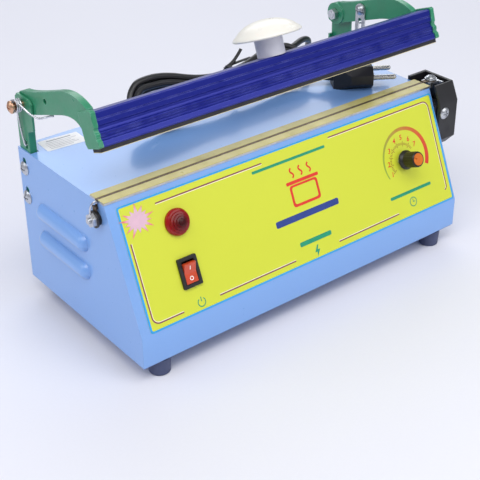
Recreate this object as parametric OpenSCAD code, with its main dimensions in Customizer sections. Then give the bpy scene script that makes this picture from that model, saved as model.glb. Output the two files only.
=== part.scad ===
// Hand impulse heat sealer, 300 mm class.
// Built round the centre of the box's footprint: +X right, -Y front, +Z up.
// The last lines shift everything to the centre of the overall envelope.

/* [Housing] */
// Width of the sheet-steel box, side to side
box_w = 300; // [260:1:420]
// Depth of the box, front lip to back panel
box_d = 148; // [130:1:190]
// Height of the box above its feet
box_h = 107; // [95:1:130]
// How far the top front edge stands behind the lip
slope_set = 36; // [20:1:50]
// Height of the upright lip under the sloped front
lip_h = 23; // [12:1:35]
// Thickness of the sheet steel
sheet_t = 1; // [0.8:0.1:1.4]
// Height of the rubber feet
foot_h = 12.8; // [8:0.2:20]
// Pan heads of the screws: diameter
screw_head_d = 7.2; // [6:0.1:9]

/* [Press arm] */
// Angle the arm stands open at rest
arm_open = 20.7; // [12:0.1:30]
// Height of the arm pivot above the standing surface
pivot_z = 157; // [150:0.5:170]
// Distance of the arm pivot behind the box centre
pivot_y = 62; // [55:0.5:66]
// Diameter of the pivot bolts
pivot_d = 5; // [4:0.5:6]
// Thickness of the cast arms
arm_t = 5; // [4:0.5:7]
// Width of the pressing rubber
rubber_w = 10.5; // [8:0.5:14]

/* [Push knob] */
// Diameter of the mushroom knob
knob_d = 49.5; // [40:0.5:60]
// Height of the knob's head
knob_h = 12.5; // [8:0.5:20]
// Diameter of the stem under the knob
stem_d = 20; // [16:1:26]

/* [Controls] */
// Rocker switch face, width
switch_w = 15; // [13:0.5:22]
// Rocker switch face, height
switch_h = 21; // [19:0.5:30]
// Tilt of the rocker either side of level
rocker_tilt = 11; // [8:1:14]
// Diameter of the indicator lens
lens_d = 18.6; // [12:0.2:24]
// Diameter of the timer knob's skirt
dial_d = 15; // [12:0.5:24]
// Height of the timer knob
dial_h = 17; // [12:0.5:17]

/* [Power cord] */
// Diameter of the mains cord
cord_d = 5; // [4:0.2:8]

/* [Hidden] */
frame_x = -5;
frame_y = 0;
$fn = 48;
eps = 0.02;

// ---- colours ----
c_box = [0.60, 0.74, 0.95];
c_green = [0.16, 0.50, 0.32];
c_blue = [0.13, 0.17, 0.60];
c_steel = [0.74, 0.74, 0.74];
c_brass = [0.78, 0.68, 0.44];
c_alu = [0.80, 0.81, 0.83];
c_black = [0.08, 0.08, 0.09];
c_rubber = [0.13, 0.12, 0.15];
c_foot = [0.27, 0.25, 0.31];
c_cloth = [0.72, 0.67, 0.36];
c_label = [0.85, 0.90, 0.30];
c_ivory = [0.96, 0.95, 0.90];
c_wire_red = [0.70, 0.10, 0.08];
c_white = [0.85, 0.85, 0.85];
c_yellow = [0.90, 0.80, 0.20];

// ---- box ----
x_side = box_w / 2;
y_lip = -box_d / 2;
y_back = box_d / 2;
base_t = 1.2;
z_floor = foot_h + base_t;
z_lip = z_floor + lip_h;
z_top = z_floor + box_h;
y_edge = y_lip + slope_set;
slope_a = atan2(slope_set, box_h - lip_h);
slope_l = norm([slope_set, box_h - lip_h]);
flange_w = 10;
foot_x = 132;
foot_y_front = -65.5;
foot_y_back = 62;
base_screw_x = 90;
base_screw_y = 68;

// ---- vents, film and stickers ----
louvre_z = [80, 58];
louvre_y = [-14, 52];
louvre_r = 7;
louvre_out = 5;
label_x = [-142.5, 148.8];
label_s = [1.2, 87.6];
label_t = 0.3;
sticker_t = 0.15;
star_at = [-129.5, 75.5];

// ---- sealing jaw ----
seam_y = -30;
jaw_w = 16.6;
jaw_t = 1.4;
stud_d = 3;
stud_l = 7;
jaw_pad_t = 0.25;
cloth_t = 0.25;
ribbon_w = 2.2;
z_jaw = z_top + jaw_t;
z_cloth = z_jaw + jaw_pad_t;
stud_x = [-110, 0, 110];

// ---- left terminal of the element ----
term_y = -30;
term_z = 109;
eyelet_x = -x_side - 2.3;
drop_x = -x_side - 0.6;
drop_z = term_z + 7.3;

// ---- right terminal and its cover ----
lug_x = 160;
cover_out = 170;
cover_z0 = 70;
cover_z1 = 124;
cover_y0 = -50.5;
cover_y1 = -15;
cover_t = 2.4;
cover_screw_at = [x_side + 5.5, cover_y0, 102];
block_y = -33;
block_out = 9.5;

// ---- hinge posts ----
web_t = 1.6;
x_web = x_side - sheet_t;
post_y0 = 58;
post_y1 = 72;
head_y0 = 50;
head_z0 = 139;
head_z1 = 163;
post_flange = 5.4;
post_z0 = 72;
post_screw_z = [106.5, 83.5];
post_screw_y = 66.5;
hook_y = 62.3;
hook_z = 126;
post_slot = 6;
bolt_out = 157.2;

// ---- press arm, in the frame of the closed arm: u forward, v up ----
bar_half = 148.4;
hub_r = 9;
hub_in = 141;
x_arm_out = 147.1;
x_arm_in = x_arm_out - arm_t;
cap_out = 152;
bar_rear = 86;
bar_bottom = -31;
cap_rear = 83;
jaw_v = z_jaw + jaw_pad_t + cloth_t - pivot_z;
tape_t = 0.4;
rubber_u = pivot_y - seam_y;
knob_u = 89;
stem_v0 = -8;
stem_v1 = 5;
link_u = 31.5;
link_x = 140.4;
link_t = 1.4;
link_w = 10;
link_len = 72;
link_pin_y = pivot_y - link_u * cos(arm_open);
link_pin_z = pivot_z + link_u * sin(arm_open);
spring_r = 4.2;
spring_wire = 0.7;

// ---- controls, placed by x and by distance up the slope ----
switch_at = [-103, 30.5];
lens_at = [-102, 65];
dial_at = [105.5, 45.6];
dial_turn = 65;
knob_base = 2.7;
rocker_pin_z = -1;

// ---- transformer and timer board ----
core_at = [-12, 22, z_floor + 4];
core_w = 84;
core_d = 44;
core_h = 70;
board_at = [78, -32, z_floor + 8];
board_l = 56;
board_w = 44;

// ---- microswitch under the link ----
micro_z = 66.2;
micro_y0 = 17;
micro_l = 27.8;
micro_h = 15.9;
micro_t = 10.3;
micro_x0 = x_side - sheet_t - 1.5 - micro_t;
micro_screws = [[micro_y0 + 3, micro_z + 3], [micro_y0 + 25, micro_z + 3]];
lever_x0 = micro_x0 + 1.8;
lever_x1 = lever_x0 + 6;
lever_y = micro_y0 + micro_l - 3;
lever_z = micro_z + micro_h + 2.4;
lever_pin_z = lever_z - 0.8;

// ---- wires inside the box ----
ribbon_wire_r = 1.3;
mains_wire_r = 1.2;
signal_wire_r = 0.9;
// from the winding to both ends of the ribbon
ribbon_wires = [
    [[core_at[0] + 18, core_at[1] - 36, 78], [10, -38, 88], [-60, -34, 102], [-120, -28, 104],
        [-140, term_y, term_z - 3], [-144, term_y, term_z - 6]],
    [[core_at[0] + 24, core_at[1] - 36, 74], [50, -30, 92], [110, -34, 102], [138, -33, 96],
        [146, -33, 92]]];
// from the mains cord to the board, and from the rocker switch to the board
mains_wires = [
    [[72, y_back - 10.8, 44], [76, 56, 36], [92, 34, 31], [108, 17, 37], [113, 7, 39.5],
        [113.5, 2, 35.4]],
    [[-103, -38, 48], [-100, -20, 40], [-60, -18, 24], [10, -18, 22], [60, -16, 26], [74, -10, 28],
        [82.5, -4.5, 25.6]]];
lamp_wire = [[-102, -30, 86], [-98, -16, 70], [-94, -16, 46], [-98, -24, 42]];
timer_wire = [[dial_at[0], -46, 62], [112, -36, 50], [118, -14, 42], [119, 0, 35.2]];
micro_wire = [[x_web - 12.5, micro_y0 + 14, micro_z - 1], [132, 28, 54], [126, 18, 48], [123, 8, 42],
    [122.5, 3, 35.4]];

// ---- cord ----
cord_r = cord_d / 2;
gland_at = [72, y_back, 44];
gland_out = 16;
// From inside the box through the gland, hanging in a loop behind the box, over its back edge
lead_in = [[72, 64, 44], [72, 72, 44], [72, 80, 44], [72, 90, 44], [72.5, 99.5, 41.5],
    [75, 109, 36.5], [80.5, 117, 29.5], [90, 121.5, 23], [102.5, 122.5, 19.5], [116.5, 119.5, 21],
    [129, 113.5, 29.5], [137, 106, 45.5], [139, 98.5, 66.5], [136, 92, 87.5], [130, 85.5, 106],
    [125, 79, 120], [120.5, 72, 131], [115, 65.5, 138.5], [108, 60.5, 143], [100, 57, 145],
    [91.5, 54, 144.6], [83, 51.6, 144.4], [74, 51, 146]];
// From the hank along the box top to the plug
lead_out = [[29, 33, 130.5], [36.5, 31.5, 129], [44.5, 29.5, 127], [53, 28, 125.5], [62, 26, 124.5],
    [70, 25, 125.2], [77.5, 22.8, 127.6], [84, 20, 129.5], [93.55, 14, 130]];
hank_at = [5, 38, 140];
hank_tilt = 47;
hank_half = 83;
hank_end = 20.5;
hank_waist = 10;
hank_t = 11;
tie_x = 13;
// The tie's two loose ends, across and up
tie_end_up = [[0, 145.4], [3, 145.6], [9.8, 149.4], [14.1, 153.6], [17, 157.4], [16.1, 158.1],
    [13.2, 154.5], [9.2, 150.6], [3, 147.4]];
tie_end_level = [[0, 145.4], [3.8, 146], [11.6, 146.9], [25.9, 147.4], [25.9, 149], [11.6, 148.6],
    [3.8, 147.6]];
plug_at = [119.5, -2.2, 130];
plug_turn = -32;
plug_l = 30;
plug_neck = 8;
plug_grip = 0.2;
pin_d = 4;
pin_l = 19;
pin_gap = 19;

// ======== placing helpers ========

// From the centre of the box to the centre of the whole envelope
module place() translate([frame_x, frame_y, 0]) children();

// A flat outline in (y, z), extruded from x0 to x1
module prism_x(x0, x1) translate([x0, 0, 0]) rotate([90, 0, 90]) linear_extrude(x1 - x0) children();

// A flat outline in (forward, up), extruded from x0 to x1
module bar_x(x0, x1) translate([x1, 0, 0]) rotate([90, 0, -90]) linear_extrude(x1 - x0) children();

// Cylinder along +X
module rod_x(d, l) rotate([0, 90, 0]) cylinder(d = d, h = l);

// The sloped front: x, distance up the slope, height off the panel
module on_slope(at) translate([at[0], y_lip + at[1] * sin(slope_a), z_lip + at[1] * cos(slope_a)])
    rotate([90 - slope_a, 0, 0]) children();

// Frame of the closed arm, turned up to the rest position
module on_arm() translate([0, pivot_y, pivot_z]) rotate([-arm_open, 0, 0]) children();

module both_sides() {
    children();
    mirror([1, 0, 0]) children();
}

module box_at(a, b) translate(a) cube(b - a);

// Pan-head screw pointing down from z = 0, its head above
module pan_screw(d, l, head_d = screw_head_d, head_h = 2.4) difference() {
    union() {
        translate([0, 0, -l]) cylinder(d = d, h = l + eps);
        intersection() {
            cylinder(d = head_d, h = head_h);
            translate([0, 0, head_h - head_d * 0.72]) sphere(r = head_d * 0.72);
        }
    }
    for (turn = [0, 90]) rotate(turn) translate([-head_d * 0.29, -0.45, head_h - 1.3])
        cube([head_d * 0.58, 0.9, 2]);
}

module hex_nut(across, h, bore) difference() {
    intersection() {
        cylinder(d = across * 2 / sqrt(3), h = h, $fn = 6);
        translate([0, 0, h / 2]) sphere(r = across * 0.66);
    }
    translate([0, 0, -1]) cylinder(d = bore, h = h + 2);
}

module washer(d, bore, h) difference() {
    cylinder(d = d, h = h);
    translate([0, 0, -1]) cylinder(d = bore, h = h + 2);
}

module rounded_plate(w, h, r, t) linear_extrude(t) rounded_outline(w, h, r);

module rounded_outline(w, h, r) {
    square([w - 2 * r, h], center = true);
    square([w, h - 2 * r], center = true);
    for (sx = [-1, 1], sy = [-1, 1]) translate([sx * (w / 2 - r), sy * (h / 2 - r)]) circle(r);
}

// ---- tubes swept along points ----
function unit(v) = v / norm(v);
function mid_points(p, n) = [for (i = [0 : len(p) - 2], k = [0 : n - 1])
    let (a = p[max(i - 1, 0)], b = p[i], c = p[i + 1], d = p[min(i + 2, len(p) - 1)], t = k / n)
    0.5 * ((2 * b) + (c - a) * t + (2 * a - 5 * b + 4 * c - d) * t * t
        + (3 * b - a - 3 * c + d) * t * t * t)];
function smooth_path(p, n) = concat(mid_points(p, n), [p[len(p) - 1]]);
function tangent(p, i) = unit(p[min(i + 1, len(p) - 1)] - p[max(i - 1, 0)]);
function first_normal(t) = unit(cross(t, abs(t[2]) < 0.9 ? [0, 0, 1] : [1, 0, 0]));
function carried(n, t) = unit(n - t * (n * t));
function normals(p, i = 0, n = undef, out = []) = i == len(p) ? out
    : let (t = tangent(p, i), m = n == undef ? first_normal(t) : carried(n, t))
    normals(p, i + 1, m, concat(out, [m]));

module tube(path, r, sides = 8) {
    nrm = normals(path);
    count = len(path);
    pts = [for (i = [0 : count - 1], k = [0 : sides - 1])
        let (b = cross(tangent(path, i), nrm[i]), a = 360 * k / sides)
        path[i] + r * (cos(a) * nrm[i] + sin(a) * b)];
    walls = [for (i = [0 : count - 2], k = [0 : sides - 1])
        let (a = i * sides + k, b = i * sides + (k + 1) % sides) [a, a + sides, b + sides, b]];
    ends = [[for (k = [0 : sides - 1]) k], [for (k = [sides - 1 : -1 : 0]) (count - 1) * sides + k]];
    polyhedron(points = pts, faces = concat(ends, walls));
}

// ======== housing ========

// Outline of the box from the side, taken in by t
function box_outline(t, bottom) = [
    [y_lip + t, bottom], [y_lip + t, z_lip - t * tan(slope_a / 2)],
    [y_edge + t * (1 - sin(slope_a)) / cos(slope_a), z_top - t], [y_back - t, z_top - t],
    [y_back - t, bottom]];

// Pressed hood over a vent, standing out of the side and open along its lower edge
module louvre(y0, y1, z, r, out) {
    translate([x_side - r + out, 0, z]) {
        translate([0, y1 - r, 0]) rotate([90, 0, 0]) cylinder(r = r, h = y1 - y0 - 2 * r);
        translate([0, y0 + r, 0]) sphere(r);
        translate([0, y1 - r, 0]) sphere(r);
    }
}

module louvres(shrink) for (z = louvre_z)
    louvre(louvre_y[0] + shrink, louvre_y[1] - shrink, z, louvre_r - shrink, louvre_out - shrink);

module housing_shell() color(c_box) difference() {
    union() {
        prism_x(-x_side, x_side) polygon(box_outline(0, z_floor));
        both_sides() intersection() {
            louvres(0);
            box_at([x_side - 2, louvre_y[0], 40], [x_side + 5, louvre_y[1], 100]);
        }
    }
    // inside, and the opening left by the inward flanges round the bottom
    prism_x(-x_side + sheet_t, x_side - sheet_t) polygon(box_outline(sheet_t, z_floor + sheet_t));
    box_at([-x_side + flange_w, y_lip + flange_w, z_floor - 1],
        [x_side - flange_w, y_back - flange_w, z_floor + 2]);
    both_sides() {
        // vents behind the hoods
        louvres(0.8);
        for (z = louvre_z) box_at([x_side, louvre_y[0] + 6, z - louvre_r],
            [x_side + 4, louvre_y[1] - 6, z - 3.6]);
        // upright slots for the screws of the hinge posts
        for (z = post_screw_z, dz = [0, post_slot]) translate([x_side - 3, post_screw_y, z + dz])
            rod_x(4.6, 6);
        for (z = post_screw_z) box_at([x_side - 3, post_screw_y - 2.3, z],
            [x_side + 3, post_screw_y + 2.3, z + post_slot]);
        // the post comes up through a notch in the top
        box_at([x_side - 7.4, post_y0 - 0.8, z_top - 4], [x_web, post_y1 + 0.8, z_top + 1]);
    }
    // studs of the sealing jaw
    for (x = stud_x) translate([x, seam_y, z_top - 3]) cylinder(d = stud_d + 0.4, h = 5);
    // slot for the link
    box_at([link_x - 0.9, 24.6, z_top - 3], [link_x + link_t + 0.9, 38.4, z_top + 1]);
    // left terminal, right terminal block
    translate([-x_side - 1, term_y, term_z]) rod_x(8, 4);
    translate([x_side - 3, -33, 96]) rod_x(4.2, 5);
    translate([x_side - 3, -33, 84]) rod_x(4.2, 5);
    // controls
    on_slope(lens_at) translate([0, 0, -3]) cylinder(d = 12.4, h = 5);
    on_slope(switch_at) translate([-6.6, -9.6, -3]) cube([13.2, 19.2, 5]);
    on_slope(dial_at) translate([0, 0, -3]) cylinder(d = 7.3, h = 5);
    // cord bush
    translate(gland_at) rotate([90, 0, 0]) translate([0, 0, -1]) cylinder(d = 10.2, h = 4);
    // base screws, and room for the screws of the feet
    for (sx = [-1, 1], sy = [-1, 1]) translate([sx * base_screw_x, sy * base_screw_y, z_floor - 1])
        cylinder(d = 3, h = 4);
    for (sx = [-1, 1], y = [foot_y_front, foot_y_back]) translate([sx * foot_x, y, z_floor - 1])
        cylinder(d = 4.6, h = 4);
}

module base_plate() color(c_box * 0.8) difference() {
    translate([0, 0, z_floor - base_t / 2]) cube([box_w - 2, box_d - 2, base_t], center = true);
    for (sx = [-1, 1], y = [foot_y_front, foot_y_back]) translate([sx * foot_x, y, foot_h - 1])
        cylinder(d = 4.2, h = 4);
    for (sx = [-1, 1], sy = [-1, 1]) translate([sx * base_screw_x, sy * base_screw_y, foot_h - 1])
        cylinder(d = 3.2, h = 4);
    // breathing holes under the transformer
    for (i = [-3 : 3]) translate([-8 + i * 12, 20, foot_h - 1]) cylinder(d = 6, h = 4);
}

module base_screws() color(c_steel) for (sx = [-1, 1], sy = [-1, 1])
    translate([sx * base_screw_x, sy * base_screw_y, foot_h]) rotate([180, 0, 0])
        pan_screw(3, 5, 5.6, 1.9);

module rubber_feet() color(c_foot) for (sx = [-1, 1], y = [foot_y_front, foot_y_back])
    translate([sx * foot_x, y, 0]) rotate_extrude()
        polygon([[2.1, foot_h], [2.1, 5.4], [4.6, 5.4], [4.6, 0], [6.9, 0], [7.5, 0.7],
            [8.3, foot_h - 1], [8.3, foot_h]]);

module foot_screws() color(c_steel) for (sx = [-1, 1], y = [foot_y_front, foot_y_back])
    translate([sx * foot_x, y, 5.4]) rotate([180, 0, 0]) pan_screw(4, 11.5, 8, 2.6);

module labels() {
    lw = label_x[1] - label_x[0];
    lh = label_s[1] - label_s[0];
    color(c_label) difference() {
        on_slope([(label_x[0] + label_x[1]) / 2, (label_s[0] + label_s[1]) / 2])
            rounded_plate(lw, lh, 2, label_t);
        on_slope(lens_at) translate([0, 0, -1]) cylinder(d = 12.4, h = 3);
        on_slope(switch_at) translate([-6.6, -9.6, -1]) cube([13.2, 19.2, 3]);
        on_slope(dial_at) translate([0, 0, -1]) cylinder(d = 7.3, h = 3);
    }
    // twelve-pointed sticker in the upper left corner
    color([0.90, 0.70, 0.85]) on_slope(star_at) translate([0, 0, label_t])
        linear_extrude(sticker_t) polygon([for (i = [0 : 23]) let (r = i % 2 == 0 ? 12.5 : 7.5)
            [r * cos(15 * i), 0.9 * r * sin(15 * i)]]);
    // rating plate sticker on the top
    color([0.95, 0.95, 0.95]) translate([-122, 60.5, z_top]) rotate(-4)
        rounded_plate(31, 18, 1.5, sticker_t);
}

// ======== sealing jaw ========

module jaw_bar() color(c_alu) union() {
    box_at([-x_side, seam_y - jaw_w / 2, z_top], [x_side, seam_y + jaw_w / 2, z_jaw]);
    for (x = stud_x) translate([x, seam_y, z_top - stud_l]) cylinder(d = stud_d, h = stud_l + 0.5);
}

module jaw_nuts() color(c_steel) for (x = stud_x) translate([x, seam_y, z_top - sheet_t - 2.4])
    hex_nut(5.5, 2.4, stud_d);

module jaw_pad() color([0.86, 0.84, 0.74])
    box_at([-x_side, seam_y - jaw_w / 2, z_jaw], [x_side, seam_y + jaw_w / 2, z_cloth]);

// Nichrome ribbon along the seam; its left end drops to the side terminal
module heating_element() color([0.55, 0.50, 0.47]) union() {
    box_at([drop_x, seam_y - ribbon_w / 2, z_cloth], [lug_x - 4, seam_y + ribbon_w / 2, z_cloth + 0.2]);
    box_at([drop_x, seam_y - ribbon_w / 2, drop_z], [drop_x + 0.2, seam_y + ribbon_w / 2, z_cloth + 0.2]);
    // eyelet under the left nut, with a tab up to the ribbon
    translate([eyelet_x, term_y, term_z]) difference() {
        union() {
            rod_x(9, 0.7);
            box_at([0, -2.2, 3], [0.7, 2.2, 9.3]);
        }
        translate([-1, 0, 0]) rod_x(4.1, 3);
    }
    box_at([eyelet_x, seam_y - 1.6, drop_z], [drop_x + 0.2, seam_y + 1.6, drop_z + 2]);
    // flat end under the right clamp screw
    translate([lug_x, seam_y, z_cloth]) difference() {
        union() {
            cylinder(d = 9, h = 0.6);
            box_at([-9, -2.2, 0], [0, 2.2, 0.6]);
        }
        translate([0, 0, -1]) cylinder(d = 4.1, h = 3);
    }
}

module ptfe_strips() color(c_cloth) for (s = [-1, 1])
    translate([0, seam_y + s * (jaw_w / 4 + ribbon_w / 4 + 0.1), z_cloth + cloth_t / 2])
        cube([box_w, jaw_w / 2 - ribbon_w / 2 - 0.2, cloth_t], center = true);

// ======== left terminal ========

module terminal_bolt_left() color(c_steel) translate([-x_side - 8, term_y, term_z]) union() {
    rod_x(4, 12);
    translate([10.8, 0, 0]) rotate([0, 90, 0]) cylinder(d = 7 * 2 / sqrt(3), h = 2.8, $fn = 6);
}

module terminal_washers_left() {
    // insulating bush through the panel, insulating washer inside, steel washer outside
    color(c_black) translate([-x_side - 1.6, term_y, term_z]) rotate([0, 90, 0]) difference() {
        union() {
            cylinder(d = 9.4, h = 1.6);
            cylinder(d = 7.8, h = 3.2);
        }
        translate([0, 0, -1]) cylinder(d = 4.1, h = 6);
    }
    color(c_black) translate([-x_side + sheet_t + 0.1, term_y, term_z]) rotate([0, 90, 0])
        washer(12, 8, 1.6);
    color(c_steel) translate([-x_side - 3.2, term_y, term_z]) rotate([0, 90, 0]) washer(12, 4.1, 0.8);
}

module terminal_nut_left() color(c_steel) translate([-x_side - 6.4, term_y, term_z])
    rotate([0, 90, 0]) hex_nut(8.5, 3.1, 4);

// ======== right terminal ========

module tension_block() color(c_black) difference() {
    box_at([x_side, -46.5, 79.5], [x_side + block_out, -24, 108]);
    for (z = [96, 84]) translate([x_side - 1, block_y, z]) rod_x(3, 7);
    // guide hole for the clip's spring pin
    translate([x_side + 2, block_y, 90]) rod_x(4.2, 8);
    translate(cover_screw_at) rotate([-90, 0, 0]) cylinder(d = 3.5, h = 12);
}

// Bent steel clip: spring pin in the block, tongue under the clamp screw
module tension_clip() color(c_steel) difference() {
    union() {
        box_at([x_side + 13.5, block_y - 6, 84], [x_side + 15, block_y + 7, z_cloth]);
        box_at([x_side + 3.5, seam_y - 5, z_cloth - 1.5], [x_side + 14, seam_y + 4, z_cloth]);
        translate([x_side + 3.5, block_y, 90]) rod_x(4, 11);
    }
    translate([lug_x, seam_y, z_cloth - 3]) cylinder(d = 4, h = 5);
}

module tension_spring() color(c_steel) translate([x_side + block_out, block_y, 90])
    rotate([0, 90, 0]) for (i = [0 : 3]) translate([0, 0, 0.6 + i * 0.9])
        rotate_extrude() translate([3, 0]) circle(0.55);

module tension_screw() color(c_steel) translate([lug_x, seam_y, z_cloth + 0.6]) union() {
    translate([0, 0, 0.8]) pan_screw(4, 8, 8, 2.6);
    washer(9.5, 3.9, 0.8);
}

// Moulded cover, open at the top and towards the box, chamfered at the front
function cover_outline(t) = [[cover_y1 - t, cover_z0 + 8 + t * 0.4], [cover_y1 - t, cover_z1 + 1],
    [-44 + t * 0.6, cover_z1 + 1], [-44 + t * 0.6, cover_z1], [cover_y0 + t, 110],
    [cover_y0 + t, cover_z0 + 9 + t * 0.4], [-42 + t * 0.3, cover_z0 + t], [-24, cover_z0 + t]];

module terminal_cover() color(c_black) difference() {
    prism_x(x_side, cover_out) polygon(cover_outline(0));
    prism_x(x_side - 1, cover_out - cover_t) polygon(cover_outline(cover_t));
    box_at([x_side - 1, cover_y0 - 1, cover_z1], [cover_out + 1, cover_y1 + 1, cover_z1 + 3]);
    translate(cover_screw_at) translate([0, -1, 0]) rotate([-90, 0, 0]) cylinder(d = 3.6, h = 4);
}

module cover_screw() color(c_steel) translate(cover_screw_at) rotate([90, 0, 0])
    pan_screw(3.5, 11, 9.5, 2.6);

// ======== hinge posts ========

module post() color(c_green) difference() {
    union() {
        // web against the side panel, with the wider head above
        prism_x(x_web - web_t, x_web) polygon([[post_y0, post_z0], [post_y1, post_z0],
            [post_y1, head_z1 - 3], [post_y1 - 3, head_z1], [head_y0 + 3, head_z1],
            [head_y0, head_z1 - 3], [head_y0, head_z0 + 1.5], [post_y0, head_z0 - 2]]);
        // front and back flanges
        box_at([x_web - post_flange, post_y0, post_z0], [x_web - eps, post_y0 + web_t, head_z0 - 2.5]);
        box_at([x_web - post_flange, post_y1 - web_t, post_z0], [x_web - eps, post_y1, head_z0 - 2.5]);
    }
    translate([x_web - 3, pivot_y, pivot_z]) rod_x(pivot_d, 5);
    for (z = post_screw_z) translate([x_web - 3, post_screw_y, z]) rod_x(4, 5);
    // slot that holds the fixed leg of the torsion spring
    for (dz = [-1.6, 1.6]) translate([x_web - 3, hook_y, hook_z + dz]) rod_x(3.4, 5);
    box_at([x_web - 3, hook_y - 1.7, hook_z - 1.6], [x_web + 2, hook_y + 1.7, hook_z + 1.6]);
}

module hinge_post_right() post();
module hinge_post_left() mirror([1, 0, 0]) post();

module post_screws() color(c_steel) both_sides() for (z = post_screw_z)
    translate([x_side, post_screw_y, z]) rotate([0, 90, 0]) pan_screw(4, 7, 10.4, 2.8);

module pivot_bolts() color(c_brass) both_sides() translate([bolt_out, pivot_y, pivot_z])
    rotate([0, 90, 0]) pan_screw(pivot_d, bolt_out - 136.6, 9, 2.8);

module pivot_nuts() color(c_steel) both_sides() translate([hub_in - 4.2, pivot_y, pivot_z])
    rotate([0, 90, 0]) hex_nut(8, 4, pivot_d);

// ======== press arm ========

function bezier(a, b, c, d, n) = [for (i = [0 : n]) let (t = i / n, s = 1 - t)
    s * s * s * a + 3 * s * s * t * b + 3 * s * t * t * c + t * t * t * d];

module arm_outline() {
    circle(hub_r);
    polygon(concat([[0, -8.2], [-3, 8.4]],
        bezier([6, 8.6], [14, 6.6], [40, 6.4], [54, 6.2], 8),
        bezier([56, 6.1], [70, 5.5], [79, 0], [bar_rear - 0.3, -6.8], 10),
        [[bar_rear - 0.3, -28], [cap_rear + 0.2, bar_bottom + 0.5], [cap_rear - 2, -29]],
        bezier([76, -24], [71, -13], [64, -10.6], [50, -9.6], 10)));
    // heel behind the hub
    polygon([[-hub_r + 1, 4], [-hub_r - 1.5, 1], [-hub_r - 1.5, -4], [-hub_r + 2, -6.5]]);
}

// Front face of the cast end: follows the waves of the extrusion, a little proud of it
module cap_outline() polygon(concat([[cap_rear, -7], [97.8, -7], [99.2, -8.2], [98.6, -17]],
    bezier([98.4, -18], [97, -18.6], [97, -21], [98.8, -22], 4),
    bezier([98.6, -24], [97.8, -24.6], [97.8, -26], [99.4, -26.8], 4),
    [[99.6, -30.2], [98.6, bar_bottom], [cap_rear + 1.5, bar_bottom], [cap_rear, -28]]));

module arm() color(c_green) difference() {
    union() {
        bar_x(x_arm_in, x_arm_out) arm_outline();
        bar_x(hub_in, x_arm_out) circle(hub_r);
        // the plate widens into the end that closes the extrusion
        bar_x(x_arm_in, cap_out) polygon([[cap_rear, -9], [bar_rear - 0.3, -9],
            [bar_rear - 0.3, bar_bottom + 1], [cap_rear, bar_bottom + 3]]);
        bar_x(bar_half + 0.1, cap_out) cap_outline();
        // spigot in the hollow of the bar
        bar_x(bar_half - 9, bar_half + 0.3) translate([88.3, -26.3]) square([5.4, 14.6]);
    }
    translate([hub_in - 1, 0, 0]) rod_x(pivot_d + 0.1, 12);
    translate([x_arm_in - 1, -link_u, 0]) rod_x(4, 12);
}

module arm_right() on_arm() arm();
module arm_left() on_arm() mirror([1, 0, 0]) arm();

// Anodised extrusion with a hollow, waves on its front and a groove for the rubber
module bar_outline() difference() {
    polygon(concat([[bar_rear, stem_v0], [97, stem_v0], [98.4, -9], [98.1, -13], [97.5, -13.2],
        [97.5, -13.9], [98, -14.1], [97.8, -17]],
        bezier([97.4, -17.4], [96, -18], [96, -21], [97.9, -21.6], 5),
        [[97.9, -22.6], [97.3, -23], [97.3, -23.6], [97.9, -24]],
        bezier([97.9, -24.4], [96.9, -25], [96.9, -26.4], [98.5, -27], 4),
        [[98.8, -30], [98.2, bar_bottom], [bar_rear, bar_bottom]]));
    translate([88.2, -26.4]) square([5.6, 14.8]);
    translate([rubber_u - 2.6, bar_bottom - 1]) square([5.2, 3.6]);
}

module press_bar() color(c_blue) on_arm() difference() {
    bar_x(-bar_half, bar_half) bar_outline();
    translate([0, -91, stem_v0 - 6]) cylinder(d = 6, h = 8);
}

module press_rubber() color(c_rubber) on_arm() union() {
    bar_x(-x_side, x_side) translate([rubber_u - rubber_w / 2, jaw_v + tape_t])
        square([rubber_w, bar_bottom - jaw_v - tape_t]);
    // tongue held in the groove of the bar
    bar_x(-bar_half + 1, bar_half - 1) translate([rubber_u - 2.5, bar_bottom - 1]) square([5, 3.5]);
}

module press_tape() color([0.86, 0.82, 0.66]) on_arm() bar_x(-x_side, x_side)
    translate([rubber_u - rubber_w / 2 + 0.1, jaw_v]) square([rubber_w - 0.2, tape_t]);

module knob_stem() color(c_ivory * 0.94) on_arm() translate([0, -knob_u, stem_v0]) difference() {
    cylinder(d = stem_d, h = stem_v1 - stem_v0);
    translate([0, knob_u - 91, -1]) cylinder(d = 6.2, h = stem_v1 - stem_v0 + 2);
}

module knob_stud() color(c_steel) on_arm() translate([0, -91, stem_v0 - 3.4])
    cylinder(d = 6, h = stem_v1 - stem_v0 + 9.4);

module push_knob() color(c_ivory) on_arm() translate([0, -knob_u, stem_v1]) difference() {
    rotate_extrude($fn = 96) intersection() {
        polygon(concat([[0, 0], [knob_d / 2 - 3, 0.3]],
            bezier([knob_d / 2 - 1.2, 0.5], [knob_d / 2 + 0.2, 0.9], [knob_d / 2, 2],
                [knob_d / 2 - 1, 3], 4),
            bezier([knob_d / 2 - 3.4, 5], [knob_d * 0.34, 9.8], [knob_d * 0.19, knob_h], [0, knob_h], 9)));
        square([knob_d, knob_h * 2]);
    }
    translate([0, knob_u - 91, -1]) cylinder(d = 6, h = 7.2);
}

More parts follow.
